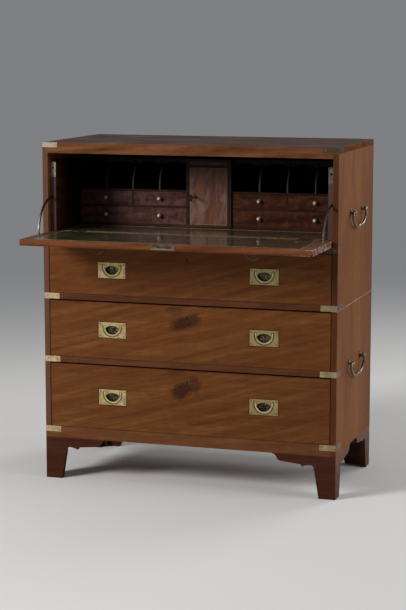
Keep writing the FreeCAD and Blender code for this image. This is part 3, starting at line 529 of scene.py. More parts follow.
def screws(name, body, places, radius=SCREW_RADIUS, heads=screw_brass):
    """One piece of many screws. A place is a point on the brass and the way the head faces."""
    shape = screw_shape(radius)
    mesh = bmesh.new()
    for count, (point, facing) in enumerate(places):
        had = len(mesh.verts)
        mesh.from_mesh(shape)
        mesh.verts.ensure_lookup_table()
        turn = Matrix.Rotation(math.radians(SLOT_NEXT_TURN * count + SLOT_FIRST_TURN), 4, "Z")
        stand = Vector(facing).to_track_quat("Z", "Y").to_matrix().to_4x4()
        set_in = Matrix.Translation(point) @ stand @ turn
        bmesh.ops.transform(mesh, matrix=set_in, verts=mesh.verts[had:])
    bpy.data.meshes.remove(shape)
    piece_from(name, mesh, body, "brass", heads, screw_dirt)


FRONT = (0, -1, 0)
strap_height = 0.019
strap_front_screws = (0.011, 0.047)
strap_side_screws = (0.013, 0.053)


def strap_screw_places(bottoms):
    places = []
    for bottom in bottoms:
        z = bottom + strap_height / 2
        for side in (-1, 1):
            places += [((side * (half_width - x), front_y, z), FRONT) for x in strap_front_screws]
            places += [((side * half_width, front_y + y, z), (side, 0, 0)) for y in strap_side_screws]
    return places


lower_straps_low, lower_straps_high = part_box("lower_brass_straps")
lower_bottoms = (lower_straps_low.z, lower_straps_high.z - strap_height)
screws("lower_strap_screws", "lower_chest", strap_screw_places(lower_bottoms))

# Carrying handles.
# Turned brass posts on rosettes, screwed through the sides, with a bent round bar that drops
# between them. Handled brass: bright on the grip, brown in the turnings.

handle_brass = aged_brass(
    "handle_brass", (0.27, 0.225, 0.15), (0.095, 0.072, 0.045), (0.022, 0.018, 0.012), 0.9, (0.2, 0.4))
for half in ("lower", "upper"):
    coat_with(handle_brass, half + "_handle_posts", half + "_left_bail", half + "_right_bail")

# Long drawers.
# A thick flame-figured front dovetailed to thin sides of paler wood, with a back and a bottom.
# The middle and bottom fronts have dark hand and key marks round their keyholes.


def distance(tree, place):
    return put(tree, "VectorMath", {0: place}, "Value", operation="LENGTH")


def stain(tree, centre, radii, lean):
    """A ragged, soft-edged patch, from 0 to 1."""
    place = spot(tree)
    sockets = {"Vector": place, "Location": centre, "Rotation": (0, lean, 0), "Scale": radii}
    patch = put(tree, "Mapping", sockets, vector_type="TEXTURE")
    rags = mottle(tree, place, 60.0, 4.0, 0.5)
    return climb(tree, reckoned(tree, "MULTIPLY_ADD", rags, 0.9, distance(tree, patch)), 1.42, 0.95)


drawer_front = 0.022
front_back_y = front_y + drawer_front
front_tones = ((0.078, 0.0220, 0.0040), (0.119, 0.0385, 0.0069), (0.170, 0.0625, 0.0140))
front_lean = 0.27
stain_and_shade_tone = (0.032, 0.0062, 0.0012)
handle_place = 0.260
pan_half = (0.048, 0.026)
box_tones = ((0.110, 0.060, 0.030), (0.180, 0.105, 0.055), (0.260, 0.165, 0.090))
box_seed = (5.0, 2.0, 3.0)


def lined(tree, colour, back_y, seed):
    """Plain lining wood on all that is behind the front board."""
    lining = wood_face(tree, "Y", seed, box_tones, 0.08)[0]
    return blended(tree, span(tree, "Y", -0.0001, 0.0001, base=back_y), colour, lining)


def drawer_dressing(name, stains, seed):
    """Figured front on a box of lining wood, its dark patches, and painted shade along its edges and round
    its plates, where the gaps and recesses are.
    """
    low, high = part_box(name)
    pan_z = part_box(name + "_fittings")[0].z + pan_half[1]

    def dress(tree, colour):
        for centre, radii, lean, share in stains:
            dark = times(tree, stain(tree, centre, radii, lean), share)
            colour = blended(tree, dark, colour, stain_and_shade_tone)
        spread = off_middle(tree)
        height = along_axis(tree, "Z")
        nearest = less(tree, high.x, spread)
        for gap in (less(tree, height, low.z), less(tree, high.z, height)):
            nearest = reckoned(tree, "MINIMUM", nearest, gap)
        # Painted shade in the gaps along the front's edges and round the plates.
        dirt = climb(tree, nearest, 0.0026, 0.0008, 0.8)
        aside = reckoned(tree, "ABSOLUTE", less(tree, spread, handle_place))
        above = reckoned(tree, "ABSOLUTE", less(tree, height, pan_z))
        past_plate = [less(tree, off, half) for off, half in zip((aside, above), pan_half)]
        plate_outline_shade = climb(tree, reckoned(tree, "MAXIMUM", *past_plate), 0.0032, 0.0012, 0.85)
        colour = layered(tree, colour, (dirt, stain_and_shade_tone), (plate_outline_shade, stain_and_shade_tone))
        return lined(tree, colour, front_back_y, seed)

    return dress


drawer_stains = {
    "bottom_drawer": [
        ((-0.019, front_y, 0.326), (0.046, 1.0, 0.034), -0.45, 0.9),
        ((0.026, front_y, 0.347), (0.030, 1.0, 0.036), 0.0, 0.65),
        ((-0.034, front_y, 0.386), (0.046, 1.0, 0.016), 0.0, 0.4),
    ],
    "middle_drawer": [
        ((-0.020, front_y, 0.547), (0.050, 1.0, 0.026), -0.3, 0.9),
        ((0.018, front_y, 0.563), (0.038, 1.0, 0.024), -0.2, 0.7),
        ((-0.042, front_y, 0.590), (0.036, 1.0, 0.022), 0.0, 0.4),
    ],
    "top_drawer": [],
}
for count, (name, stains) in enumerate(drawer_stains.items()):
    seed = (0.9 + 2.3 * count, 1.7 * count, 0.6 + 0.9 * count)
    dressing = drawer_dressing(name, stains, (box_seed[0] + count, *box_seed[1:]))
    wood = polished(name + "_wood", "X", seed, front_tones, flame=0.08, slant=front_lean, dressing=dressing)
    coat_with(wood, name)

tail_wood = bare_wood("drawer_tails", "Y", box_seed, box_tones)
tail_lap = 0.015
tail_skin = 0.0002
tail_pitch = 0.043
tail_neck = 0.011
tail_flare = 0.0028


def dovetails(name):
    """Lapped dovetails, seen on the drawer's sides where the thin sides run into the thick front."""
    low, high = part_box(name)
    count = int((high.z - low.z) / tail_pitch)
    pitch = (high.z - low.z) / count
    end_y = front_back_y - tail_lap
    wide = tail_neck + tail_flare
    outline = ((front_back_y, -tail_neck), (end_y, -wide), (end_y, wide), (front_back_y, tail_neck))
    mesh = bmesh.new()
    for side, x in ((-1, low.x), (1, high.x)):
        for tail in range(count):
            z = low.z + (tail + 0.5) * pitch
            corners = [mesh.verts.new((x - side * tail_skin, y, z + up)) for y, up in outline]
            pulled(mesh, [mesh.faces.new(corners)], (2 * side * tail_skin, 0, 0))
    piece_from(name + "_dovetails", mesh, name, "lining_wood", tail_wood)


for name in drawer_stains:
    dovetails(name)

# Handle pans, escutcheons and flush bails of the long drawers.
# Cast pans let in flush with four small screws, an oval dish for the fingers and a flat bail that
# lies in it. The dishes are nearly black with old polish and painted shade in their recess, with
# painted glints, and the right-hand pans are painted darker as shade.

pan_depth = 0.0012
pan_bright, pan_dull, pan_right_shade = (0.68, 0.54, 0.25), (0.41, 0.31, 0.135), (0.25, 0.195, 0.085)
pan_right_shade_run = (-0.1, 0.1)
pan_soil = (0.10, 0.08, 0.045)
dish_black, dish_brown, dish_painted_glint = (0.030, 0.022, 0.014), (0.11, 0.085, 0.055), (0.46, 0.36, 0.25)
keyhole_grey = (0.15, 0.125, 0.09)
keyhole_reach = (0.012, 0.010)
painted_shade_brown = (0.030, 0.024, 0.013)


def pan_brass(name, axis, face, dressing):
    """Bright plate on the face; below it the dish is painted dark as shade in the recess, with painted
    glints; dark round the keyhole; the right-hand plates and all edges painted darker as shade.
    """
    material, tree, shader = finish_named(name, {"Metallic": 1.0})
    place = spot(tree)
    clouds = mottle(tree, place, 38.0, 5.0, 0.7)
    specks = mottle(tree, place, 420.0)
    # Painted shade: the right-hand pans darker.
    right = span(tree, "X", *pan_right_shade_run, 0.6)
    soil = climb(tree, specks, 0.52, 0.72, 0.6)
    # Painted shade: the dish below the face darker the deeper it is, with painted glints on it.
    recess_shade = span(tree, axis, 0.0004, pan_depth, base=face)
    painted_glint = climb(tree, mottle(tree, place, 190.0, 2.0, 0.6), 0.58, 0.66, 0.6)
    dish = blended(tree, climb(tree, clouds, 0.4, 0.7), dish_black, dish_brown)
    keyhole = climb(tree, off_middle(tree), *keyhole_reach, 0.85)
    # Painted shade: dark outlines along the pans' edges.
    edge, rounded = worn_edge(tree, 0.0018)
    colour = blended(tree, climb(tree, clouds, 0.36, 0.64), pan_bright, pan_dull)
    colour = layered(
        tree, colour, (right, pan_right_shade), (soil, pan_soil),
        (recess_shade, blended(tree, painted_glint, dish, dish_painted_glint)), (keyhole, keyhole_grey),
        (times(tree, edge, 0.9), painted_shade_brown))
    rough = rescaled(tree, clouds, 0.3, 0.7, 0.28, 0.46)
    connect(
        tree, shader, dressing(tree, colour), rough, specks, Strength=0.25, Distance=0.00012,
        Normal=rounded)
    return material


bail_half = 0.031
bail_shoulder = 0.009
bail_hang = 0.0295
groove_top = 0.020


def groove_shadow(pan_z):
    """Painted shadow of the bail round the groove that it lies in: straight legs above a half oval."""

    def shade_groove(tree, colour):
        height = less(tree, along_axis(tree, "Z"), pan_z)
        aside = reckoned(tree, "DIVIDE", less(tree, off_middle(tree), handle_place), bail_half)
        below = reckoned(tree, "MINIMUM", less(tree, height, bail_shoulder), 0.0)
        down = reckoned(tree, "DIVIDE", below, bail_hang)
        reach = distance(tree, put(tree, "CombineXYZ", {"X": aside, "Z": down}))
        # Painted shadow: a dark band just outside the bail's outline.
        band = times(tree, climb(tree, reach, 0.96, 1.0), climb(tree, reach, 1.13, 1.06))
        band = times(tree, band, climb(tree, height, groove_top, groove_top - 0.002, 0.85))
        return blended(tree, band, colour, painted_shade_brown)

    return shade_groove


def shaded_rims(tree, colour):
    """Painted shade along the bails' rims."""
    edge = worn_edge(tree, 0.0015)[0]
    return blended(tree, times(tree, edge, 0.9), colour, painted_shade_brown)


bail_brass = aged_brass(
    "bail_brass", (0.68, 0.54, 0.27), (0.44, 0.335, 0.155), (0.05, 0.04, 0.02), 0.6, (0.22, 0.4),
    shaded_rims)
pan_screw_iron = old_iron("pan_screw_iron", (0.055, 0.038, 0.022))
pan_screw_radius = 0.0023
pan_screw_inset = 0.0062
screw_across, screw_up = [half - pan_screw_inset for half in pan_half]
pan_screw_x = [pan + way for pan in (-handle_place, handle_place) for way in (-screw_across, screw_across)]
for name in drawer_stains:
    coat_with(bail_brass, name + "_left_bail", name + "_right_bail")
    pan_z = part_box(name + "_fittings")[0].z + pan_half[1]
    coat_with(pan_brass(name + "_pan_brass", "Y", front_y, groove_shadow(pan_z)), name + "_fittings")
    pan_screw_z = (pan_z - screw_up, pan_z + screw_up)
    places = [((x, front_y, z), FRONT) for x in pan_screw_x for z in pan_screw_z]
    screws(name + "_pan_screws", name, places, pan_screw_radius, pan_screw_iron)

# Upper half: top and its corners.
# The top board with its front rail, faded by sun, dust and water and painted grey as a reflection of
# the room, and three-way brass corners screwed on at each end, front and back.

top_low, top_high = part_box("upper_top")
weather_and_sheen_grey = (0.100, 0.083, 0.079)
weather_dark = (0.056, 0.036, 0.029)
weather_dry = (0.215, 0.178, 0.162)


def faded_top(tree, colour):
    """Grey on the upper face only, in drifts along the grain: weathering, and a painted reflection of the
    grey room.
    """
    place = spot(tree)
    upper = span(tree, "Z", -0.0006, -0.0001, base=top_high.z)
    drift = moved(tree, place, Scale=(0.25, 1.0, 1.0))
    # Painted reflection as well as weathering: the grey drifts.
    grey = rescaled(tree, mottle(tree, drift, 16.0, 6.0, 0.9), 0.36, 0.6, 0.4, 0.95)
    drawn = moved(tree, place, Scale=(0.09, 1.0, 1.0))
    streaked = mottle(tree, drawn, 60.0, 6.0, 0.4)
    worn = climb(tree, streaked, 0.48, 0.34, 0.5)
    dry = climb(tree, streaked, 0.52, 0.68, 0.55)
    drifts = ((grey, weather_and_sheen_grey), (worn, weather_dark), (dry, weather_dry))
    return layered(tree, colour, *[(times(tree, upper, share), tone) for share, tone in drifts])


top_tones = ((0.072, 0.024, 0.0095), (0.136, 0.052, 0.0215), (0.205, 0.086, 0.038))
top_wood = polished(
    "top_faded", "X", (4.4, 3.9, 0.8), top_tones, flame=0.08, rough=(0.6, 0.82), wear=0.9, coat=0.0,
    gloss=0.0, dressing=faded_top)
coat_with(top_wood, "upper_top")

corner_height = 0.016
corner_front, corner_front_inset = 0.052, 0.008
corner_side, corner_side_inset = 0.064, 0.009
split_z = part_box("upper_brass_straps")[0].z
fall_rail_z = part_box("upper_divider")[0].z
corner_places = strap_screw_places((split_z, fall_rail_z))
corner_mid = top_high.z - corner_height / 2
for side in (-1, 1):
    for end_y, inward in ((top_low.y, 1), (top_high.y, -1)):
        front_x = side * (half_width - corner_front + corner_front_inset)
        side_y = end_y + inward * (corner_side - corner_side_inset)
        corner_places += [
            ((front_x, end_y, corner_mid), (0, -inward, 0)),
            ((side * half_width, side_y, corner_mid), (side, 0, 0)),
            ((front_x, end_y + inward * corner_height / 2, top_high.z), (0, 0, 1)),
            ((side * (half_width - corner_height / 2), side_y, top_high.z), (0, 0, 1)),
        ]
screws("upper_strap_screws", "upper_chest", corner_places)

# Secretaire drawer.
# Thick dark sides grooved for the stays, a floor of the fronts' wood coved along its front edge, and
# a back. The sides' front edges are greyed where hands have worn the polish, with a brass catch in each.

inner_tones = ((0.034, 0.010, 0.005), (0.060, 0.019, 0.009), (0.092, 0.033, 0.016))
sides_low, sides_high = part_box("secretaire_sides")
deep_shade = (0.006, 0.0025, 0.0018)
hand_grey = (0.095, 0.055, 0.045)


def greyed_front(tree, colour):
    """Front edges rubbed grey, and the inside painted darker the deeper it goes, as shade."""
    # Painted shade: darker the deeper inside.
    inside = span(tree, "Y", 0.015, 0.11, 0.92, sides_low.y)
    ahead = span(tree, "Y", 0.0012, 0.0002, 0.75, sides_low.y)
    return layered(tree, colour, (inside, deep_shade), (ahead, hand_grey))


inner_wood = polished("secretaire_wood", "Y", (7.1, 0.3, 2.6), inner_tones, dressing=greyed_front)
coat_with(inner_wood, "secretaire_sides")
coat_with(polished("secretaire_floor_wood", "X", (2.9, 6.3, 1.5), front_tones), "secretaire_floor")

catch_dark = (0.12, 0.115, 0.085)
catch_dark_run = (0.1, 0.3)


def dull_right(tree, colour):
    """The right-hand plate is the darker."""
    return blended(tree, span(tree, "X", *catch_dark_run, 0.75), colour, catch_dark)


catch_brass = aged_brass(
    "catch_brass", (0.42, 0.36, 0.28), (0.27, 0.23, 0.18), (0.06, 0.055, 0.04), 0.6, dressing=dull_right)
coat_with(catch_brass, "secretaire_brass")
small_screw_radius = 0.0021
catch_screw_drops = (0.006, 0.042)
catch_x = (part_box("secretaire_floor")[1].x + sides_high.x) / 2
catch_ends = [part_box("secretaire_brass")[1].z - drop for drop in catch_screw_drops]
catch_places = [((side * catch_x, sides_low.y, z), FRONT) for side in (-1, 1) for z in catch_ends]
screws("catch_screws", "secretaire_drawer", catch_places, small_screw_radius)

# Leather on the secretaire floor.
# A skin of dark olive-green leather, about a millimetre thick, pasted down flush in a shallow
# recess, tooled round its edge with gilt lines and polished by use.

leather_tones = ((0.036, 0.037, 0.018), (0.072, 0.068, 0.038), (0.120, 0.108, 0.068))
leather_brown = (0.105, 0.076, 0.030)
leather_brown_run = (0.08, 0.36)
leather_scuff = (0.42, 0.36, 0.25)
leather_back_shade = (0.023, 0.0165, 0.014)
leather_back_shade_run = (-0.1, 0.06)
leather_valley = (0.008, 0.009, 0.004)
leather_scratch = (0.10, 0.085, 0.05)
scuff_place, scuff_radii = (0.378, -0.186, 0.836), (0.006, 0.018, 1.0)


def waxed_leather(name):
    """Fine cellular grain, cloudy colour, rubbed and scratched polish, and painted shade towards the back.
    """
    material, tree, shader = finish_named(name, {"Coat Weight": 0.8, "Coat Roughness": 0.09})
    place = spot(tree)
    fine = mottle(tree, place, 260.0)
    right = span(tree, "X", *leather_brown_run, 0.6)
    scuff = times(tree, stain(tree, scuff_place, scuff_radii, 0.0), 0.95)
    # Painted shade: darker towards the back, inside the desk.
    back_shade = span(tree, "Y", *leather_back_shade_run, 0.7)
    sockets = {"Vector": place, "Scale": 1100.0}
    cells = put(tree, "TexVoronoi", sockets, feature="DISTANCE_TO_EDGE")
    valley = rescaled(tree, cells, 0.0, 0.16, 1.0, 0.0)
    drawn = moved(tree, place, Rotation=(0, 0, 0.5), Scale=(6.0, 160.0, 1.0))
    scratch = climb(tree, mottle(tree, drawn, 4.0, 2.0), 0.66, 0.72)
    colour = toned(tree, mottle(tree, place, 14.0, 5.0, 0.5), leather_tones, (0.3, 0.5, 0.72))
    colour = layered(
        tree, colour, (right, leather_brown), (scuff, leather_scuff), (back_shade, leather_back_shade),
        (times(tree, valley, 0.4), leather_valley), (times(tree, scratch, 0.35), leather_scratch))
    rough = rescaled(tree, fine, 0.3, 0.7, 0.2, 0.38)
    connect(tree, shader, colour, rough, less(tree, fine, valley), Strength=0.12, Distance=0.0002)
    return material


gilt_line = aged_brass(
    "gilt_line", (0.46, 0.36, 0.19), (0.24, 0.18, 0.08), (0.05, 0.04, 0.015), 0.9, (0.3, 0.5), metal=0.4)
skin_leather = waxed_leather("green_leather_waxed")
SKIN = 0.001
SKIN_RIPPLE = 0.00012
RIPPLE_BROAD, RIPPLE_FINE = 22.0, 61.0
SKIN_GRID = (90, 26)
GILT_LINES = ((0.005, 0.0020), (0.009, 0.0007))
INLAY_SUNK = 0.0003
INLAY_THICK = 0.00038
hinge_margin = 0.003
hinge_length = 0.040
hinge_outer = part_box("fall_hinges")[1].x
notch_x = (hinge_outer - hinge_length - hinge_margin, hinge_outer + hinge_margin)
notch_spare = 0.004


def clear_notches(mesh, notch_y, toward, spare=0.0):
    """Cut the leather away round the two hinge leaves."""
    near, far = notch_x[0] - spare, notch_x[1] + spare
    line_y = notch_y - toward * spare
    for x in (-far, -near, near, far):
        cut_across(mesh, (x, 0, 0), (1, 0, 0))
    cut_across(mesh, (0, line_y, 0), (0, 1, 0))
    gone = []
    for face in mesh.faces:
        centre = face.calc_center_median()
        if near < abs(centre.x) < far and toward * (centre.y - line_y) > 0:
            gone.append(face)
    bmesh.ops.delete(mesh, geom=gone, context="FACES")


def flat_ring(mesh, corners, width):
    """A flat band of one width inside four corners."""
    panel = mesh.faces.new([mesh.verts.new(corner) for corner in corners])
    panel.normal_update()
    bmesh.ops.inset_region(mesh, faces=[panel], thickness=width, use_boundary=True, use_even_offset=True)
    bmesh.ops.delete(mesh, geom=[panel], context="FACES")


def leather_skin(name, node, body, notch_y, toward):
    """The skin, slightly uneven, and its gilt lines. Toward is the way from the notches to the joint."""
    low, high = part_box(node)
    size = high - low
    middle = (low + high) / 2
    mesh = bmesh.new()
    bmesh.ops.create_grid(mesh, x_segments=SKIN_GRID[0], y_segments=SKIN_GRID[1], size=0.5)
    bmesh.ops.scale(mesh, vec=(size.x, size.y, 1), verts=mesh.verts[:])
    bmesh.ops.translate(mesh, vec=(middle.x, middle.y, high.z), verts=mesh.verts[:])
    clear_notches(mesh, notch_y, toward)
    for vert in mesh.verts:
        if not vert.is_boundary:
            wave = noise.noise(vert.co * RIPPLE_BROAD) + 0.5 * noise.noise(vert.co * RIPPLE_FINE)
            vert.co.z -= SKIN_RIPPLE * (1.0 + wave) / 2
    for face in mesh.faces:
        face.smooth = True
    skin = piece_from(name, mesh, body, "green_leather", skin_leather)
    thick = skin.modifiers.new("skin_thickness", "SOLIDIFY")
    thick.thickness = SKIN
    thick.offset = -1.0
    lines = bmesh.new()
    for inset, width in GILT_LINES:
        x, y, z = size.x / 2 - inset, size.y / 2 - inset, high.z - INLAY_SUNK
        square = ((-x, -y), (x, -y), (x, y), (-x, y))
        flat_ring(lines, [(middle.x + along, middle.y + across, z) for along, across in square], width)
    clear_notches(lines, notch_y, toward, notch_spare)
    pulled(lines, lines.faces[:], (0, 0, INLAY_THICK))
    gilding = piece_from(name + "_gilding", lines, body, "brass", gilt_line)
    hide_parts(node)


floor_notch_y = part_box("secretaire_brass")[1].y + hinge_margin
leather_skin("floor_skin", "floor_leather", "secretaire_drawer", floor_notch_y, -1)

# Pigeonhole case.
# Thin boards housed together: shelves, uprights and a top, scrolled partitions, arched valances
# under the top, and in the middle a cupboard surround of two pilasters and a chequered frieze.

# Painted shade: the case's tones are nearly black, for the deep holes.
case_tones = ((0.014, 0.0045, 0.0022), (0.026, 0.008, 0.004), (0.046, 0.016, 0.008))
case_low, case_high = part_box("pigeonhole_case")
case_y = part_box("left_wide_drawer")[0].y
case_shelf = 0.006
case_shelf_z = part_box("left_inner_drawer")[1].z + case_shelf
cupboard_reach = (0.086, 0.090)
edge_highlight = (0.105, 0.066, 0.050)
edge_highlight_run = (-0.40, -0.28)


def dark_inside(tree, colour):
    """The holes behind the front edges, and the case above the small drawers beside the cupboard, painted
    near black as shade.
    """
    high_up = span(tree, "Z", 0.0, 0.02, 0.85, case_shelf_z)
    beside_door = climb(tree, off_middle(tree), *cupboard_reach)
    behind = span(tree, "Y", 0.001, 0.02, 0.95, case_y)
    return layered(tree, colour, (times(tree, high_up, beside_door), deep_shade), (behind, deep_shade))


def highlighted_edges(tree, colour):
    """The partitions' scrolled front edges, painted pale as a highlight, less towards the left as painted
    shade.
    """
    ahead = climb(tree, facing_axis(tree, "Y"), -0.5, -0.8, 0.7)
    # Painted shadow: fainter highlight towards the left.
    less_shaded = rescaled(tree, along_axis(tree, "X"), *edge_highlight_run, 0.15, 1.0)
    below_arches = span(tree, "Z", -0.028, -0.042, base=case_high.z)
    rubbed = times(tree, times(tree, ahead, less_shaded), below_arches)
    return blended(tree, rubbed, dark_inside(tree, colour), edge_highlight)


case_wood = polished("pigeonhole_wood", "X", (9.3, 2.1, 4.2), case_tones, dressing=dark_inside)
partition_wood = polished(
    "partition_wood", "Z", (1.9, 5.2, 0.3), case_tones, wear=0.3, dressing=highlighted_edges)
coat_with(case_wood, "pigeonhole_case")
coat_with(partition_wood, "pigeonhole_partitions")

door_low, door_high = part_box("cupboard_door")
CHEQUER = 0.0023
CHEQUER_THICK = 0.0005
CHEQUER_SIZE = (0.94 * CHEQUER, CHEQUER_THICK, 0.94 * CHEQUER)
chequer_half_width = 0.064
chequer_rows = 5
chequer_columns = int(chequer_half_width / CHEQUER)
chequer_tones = ((0.11, 0.072, 0.058), (0.16, 0.108, 0.09), (0.21, 0.148, 0.124))
frieze_mid = (door_high.z + case_high.z) / 2
inlay = bmesh.new()
for row in range(chequer_rows):
    z = frieze_mid + (row - (chequer_rows - 1) / 2) * CHEQUER
    for column in range(-chequer_columns, chequer_columns + 1):
        if (row + column) % 2 == 0:
            peg = bmesh.ops.create_cube(inlay, size=1.0)["verts"]
            bmesh.ops.scale(inlay, vec=CHEQUER_SIZE, verts=peg)
            bmesh.ops.translate(inlay, vec=(column * CHEQUER, case_low.y, z), verts=peg)
chequer_wood = polished("chequer_holly", "Z", (0.1, 0.2, 0.3), chequer_tones, wear=0.1)
piece_from("frieze_chequer", inlay, "secretaire_drawer", "dark_mahogany", chequer_wood)

# Cupboard door, its brass and key.
# One board of upright flame figure with thin pale stringing let in near its edges, hung on pivot
# pins, with a small oval escutcheon. The key stays in the lock.

door_tones = ((0.062, 0.023, 0.014), (0.120, 0.051, 0.034), (0.200, 0.092, 0.062))
flame_grey = (0.180, 0.105, 0.087)
flame_orange = (0.150, 0.056, 0.022)


def crotch_flame(tree, colour):
    """Broad clouds of the figure, greyed where light has bleached it and orange between."""
    turned = moved(tree, spot(tree), Location=(0.31, 0.0, 0.77), Rotation=(0, -0.5, 0))
    clouds = mottle(tree, moved(tree, turned, Scale=(1.0, 1.0, 0.5)), 17.0, 5.0, 1.4)
    bleached = (climb(tree, clouds, 0.5, 0.62, 0.88), flame_grey)
    return layered(tree, colour, bleached, (climb(tree, clouds, 0.48, 0.38, 0.85), flame_orange))


door_wood = polished(
    "door_flame", "Z", (2.2, 0.9, 5.6), door_tones, flame=0.12, rough=(0.28, 0.42), coat=0.15,
    dressing=crotch_flame)
coat_with(door_wood, "cupboard_door")
key_iron = aged_brass(
    "key_steel", (0.045, 0.036, 0.029), (0.024, 0.019, 0.015), (0.010, 0.008, 0.006), 0.8, (0.45, 0.62))
coat_with(key_iron, "cupboard_key", "door_brass")

string_inset = 0.0022
string_width = 0.0018
string_tones = ((0.13, 0.08, 0.05), (0.20, 0.13, 0.085), (0.28, 0.19, 0.12))
string_x = (door_low.x + string_inset, door_high.x - string_inset)
string_z = (door_low.z + string_inset, door_high.z - string_inset)
strings = bmesh.new()
around = ((0, 0), (1, 0), (1, 1), (0, 1))
string_corners = [(string_x[right], door_low.y + INLAY_SUNK, string_z[up]) for right, up in around]
flat_ring(strings, string_corners, string_width)
pulled(strings, strings.faces[:], (0, -INLAY_THICK, 0))
string_wood = polished("boxwood_string", "Z", (3.0, 3.0, 1.0), string_tones, flame=0.05, wear=0.2)
piece_from("door_stringing", strings, "cupboard_door", "mahogany", string_wood)

# Small drawers and their knobs.
# Six thin-walled drawers with figured fronts, each knob turned from bone and pinned through its
# middle with a small dark iron pin.

knob_ring = 0.0017
knob_ring_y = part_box("left_wide_drawer_knob")[0].y + knob_ring
bone_tones = ((0.46, 0.40, 0.30), (0.66, 0.60, 0.49), (0.80, 0.75, 0.65))
bone_pore = (0.22, 0.15, 0.085)
bone_dirt = (0.06, 0.04, 0.025)


def turned_bone(name):
    """Creamy bone with fine dark pores and dirt in the turnings."""
    steady = {"Subsurface Weight": 0.1, "Subsurface Radius": (0.002, 0.0015, 0.001)}
    material, tree, shader = finish_named(name, steady)
    place = spot(tree)
    clouds = mottle(tree, place, 160.0, 4.0)
    pores = climb(tree, mottle(tree, place, 1900.0, 2.0), 0.62, 0.74, 0.6)
    off_ring = reckoned(tree, "ABSOLUTE", less(tree, along_axis(tree, "Y"), knob_ring_y))
    ring = climb(tree, off_ring, 0.0009, 0.0005, 0.85)
    colour = toned(tree, clouds, bone_tones, (0.32, 0.5, 0.68))
    colour = layered(tree, colour, (pores, bone_pore), (ring, bone_dirt))
    rough = rescaled(tree, clouds, 0.3, 0.7, 0.24, 0.4)
    connect(tree, shader, colour, rough, less(tree, clouds, pores), Strength=0.2, Distance=0.0001)
    return material


small_front = 0.010
small_box_seed = (4.0, 4.0, 1.0)
# The left-hand drawers' tones are paler and greyer than the right-hand ones: a painted reflection.
small_tones = {
    "left_": ((0.030, 0.0092, 0.0058), (0.069, 0.0255, 0.0188), (0.126, 0.053, 0.041)),
    "right_": ((0.020, 0.0036, 0.0008), (0.044, 0.0090, 0.0020), (0.092, 0.0235, 0.0055)),
}


def small_dressing(tones):
    """Mottled figure on the front, and plain lining wood behind it."""

    def dress(tree, colour):
        flecks = mottle(tree, spot(tree), 36.0, 6.0, 1.2)
        pale = (climb(tree, flecks, 0.5, 0.66, 0.6), tones[2])
        colour = layered(tree, colour, pale, (climb(tree, flecks, 0.5, 0.34, 0.6), tones[0]))
        return lined(tree, colour, case_y + small_front, small_box_seed)

    return dress


bone = turned_bone("turned_bone")
pin_radius = 0.0011
pin_crown = 0.7 * pin_radius
pin_length = 0.0008
pin_facets = 12
small_places = ("inner", "outer", "wide")
small_drawers = [(side, side + place) for side in small_tones for place in small_places]
for count, (side, drawer) in enumerate(small_drawers):
    name = drawer + "_drawer"
    seed = (1.1 * count, 0.4 * count, 2.0 + 0.7 * count)
    tones = small_tones[side]
    wood = polished(name + "_wood", "X", seed, tones, coat=0.08, dressing=small_dressing(tones))
    coat_with(wood, name)
    coat_with(bone, name + "_knob")
    knob_low, knob_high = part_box(name + "_knob")
    knob_mid = (knob_low + knob_high) / 2
    knob_half = (knob_high.z - knob_low.z) / 2
    centres = [knob_mid.x]
    if drawer.endswith("wide"):
        centres = [knob_low.x + knob_half, knob_high.x - knob_half]
    pins = bmesh.new()
    for x in centres:
        place = Matrix.Translation((x, knob_low.y, knob_mid.z))
        bmesh.ops.create_cone(
            pins, cap_ends=True, segments=pin_facets, radius1=pin_radius, radius2=pin_crown,
            depth=pin_length, matrix=place @ Matrix.Rotation(math.pi / 2, 4, "X"))
    piece_from(drawer + "_knob_pins", pins, name, "brass", screw_dirt)

# Fall.
# The front of the secretaire drawer, a board with a rounded hinge edge, hung on rule-joint hinges
# and held level by two brass quadrant stays. Green leather on its inside, a lock plate in its edge.

fall_low, fall_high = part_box("fall_panel")
fall_tones = ((0.090, 0.0225, 0.0068), (0.142, 0.0415, 0.0122), (0.215, 0.072, 0.0245))
margin_faded = (0.17, 0.095, 0.075)
chip_pale = (0.50, 0.38, 0.33)
scrape_pale = (0.36, 0.25, 0.21)


def chipped_end(tree, colour):
    """The right-hand end chipped pale, the margin by it faded, and the outer face like the drawers'."""
    margin = span(tree, "X", -0.045, -0.03, 0.5, fall_high.x)
    above = span(tree, "Z", -0.0012, -0.0002, base=fall_high.z)
    soiled = span(tree, "Z", 0.008, 0.002, 0.6, fall_low.z)
    broken = mottle(tree, spot(tree), 75.0, 5.0, 0.4)
    chips = times(tree, worn_edge(tree, 0.005)[0], climb(tree, broken, 0.42, 0.54))
    near = span(tree, "X", -0.10, -0.02, 0.95, fall_high.x)
    end = span(tree, "X", -0.003, -0.001, 0.8, fall_high.x)
    scraped = times(tree, end, climb(tree, broken, 0.5, 0.6))
    below = span(tree, "Z", 0.0008, 0.0003, base=fall_low.z)
    outside = wood_face(tree, "X", (3.6, 0.8, 2.4), front_tones, 0.12)[0]
    return layered(
        tree, colour, (times(tree, margin, above), margin_faded), (soiled, stain_and_shade_tone),
        (times(tree, chips, near), chip_pale), (scraped, scrape_pale), (below, outside))


fall_wood = polished("fall_wood", "X", (5.5, 1.2, 0.3), fall_tones, wear=0.9, dressing=chipped_end)
coat_with(fall_wood, "fall_panel")
fall_notch_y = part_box("fall_hinges")[0].y - hinge_margin
leather_skin("fall_skin", "fall_leather", "fall", fall_notch_y, 1)

plate_green, plate_black, plate_rubbed = (0.15, 0.14, 0.095), (0.035, 0.034, 0.022), (0.34, 0.31, 0.22)


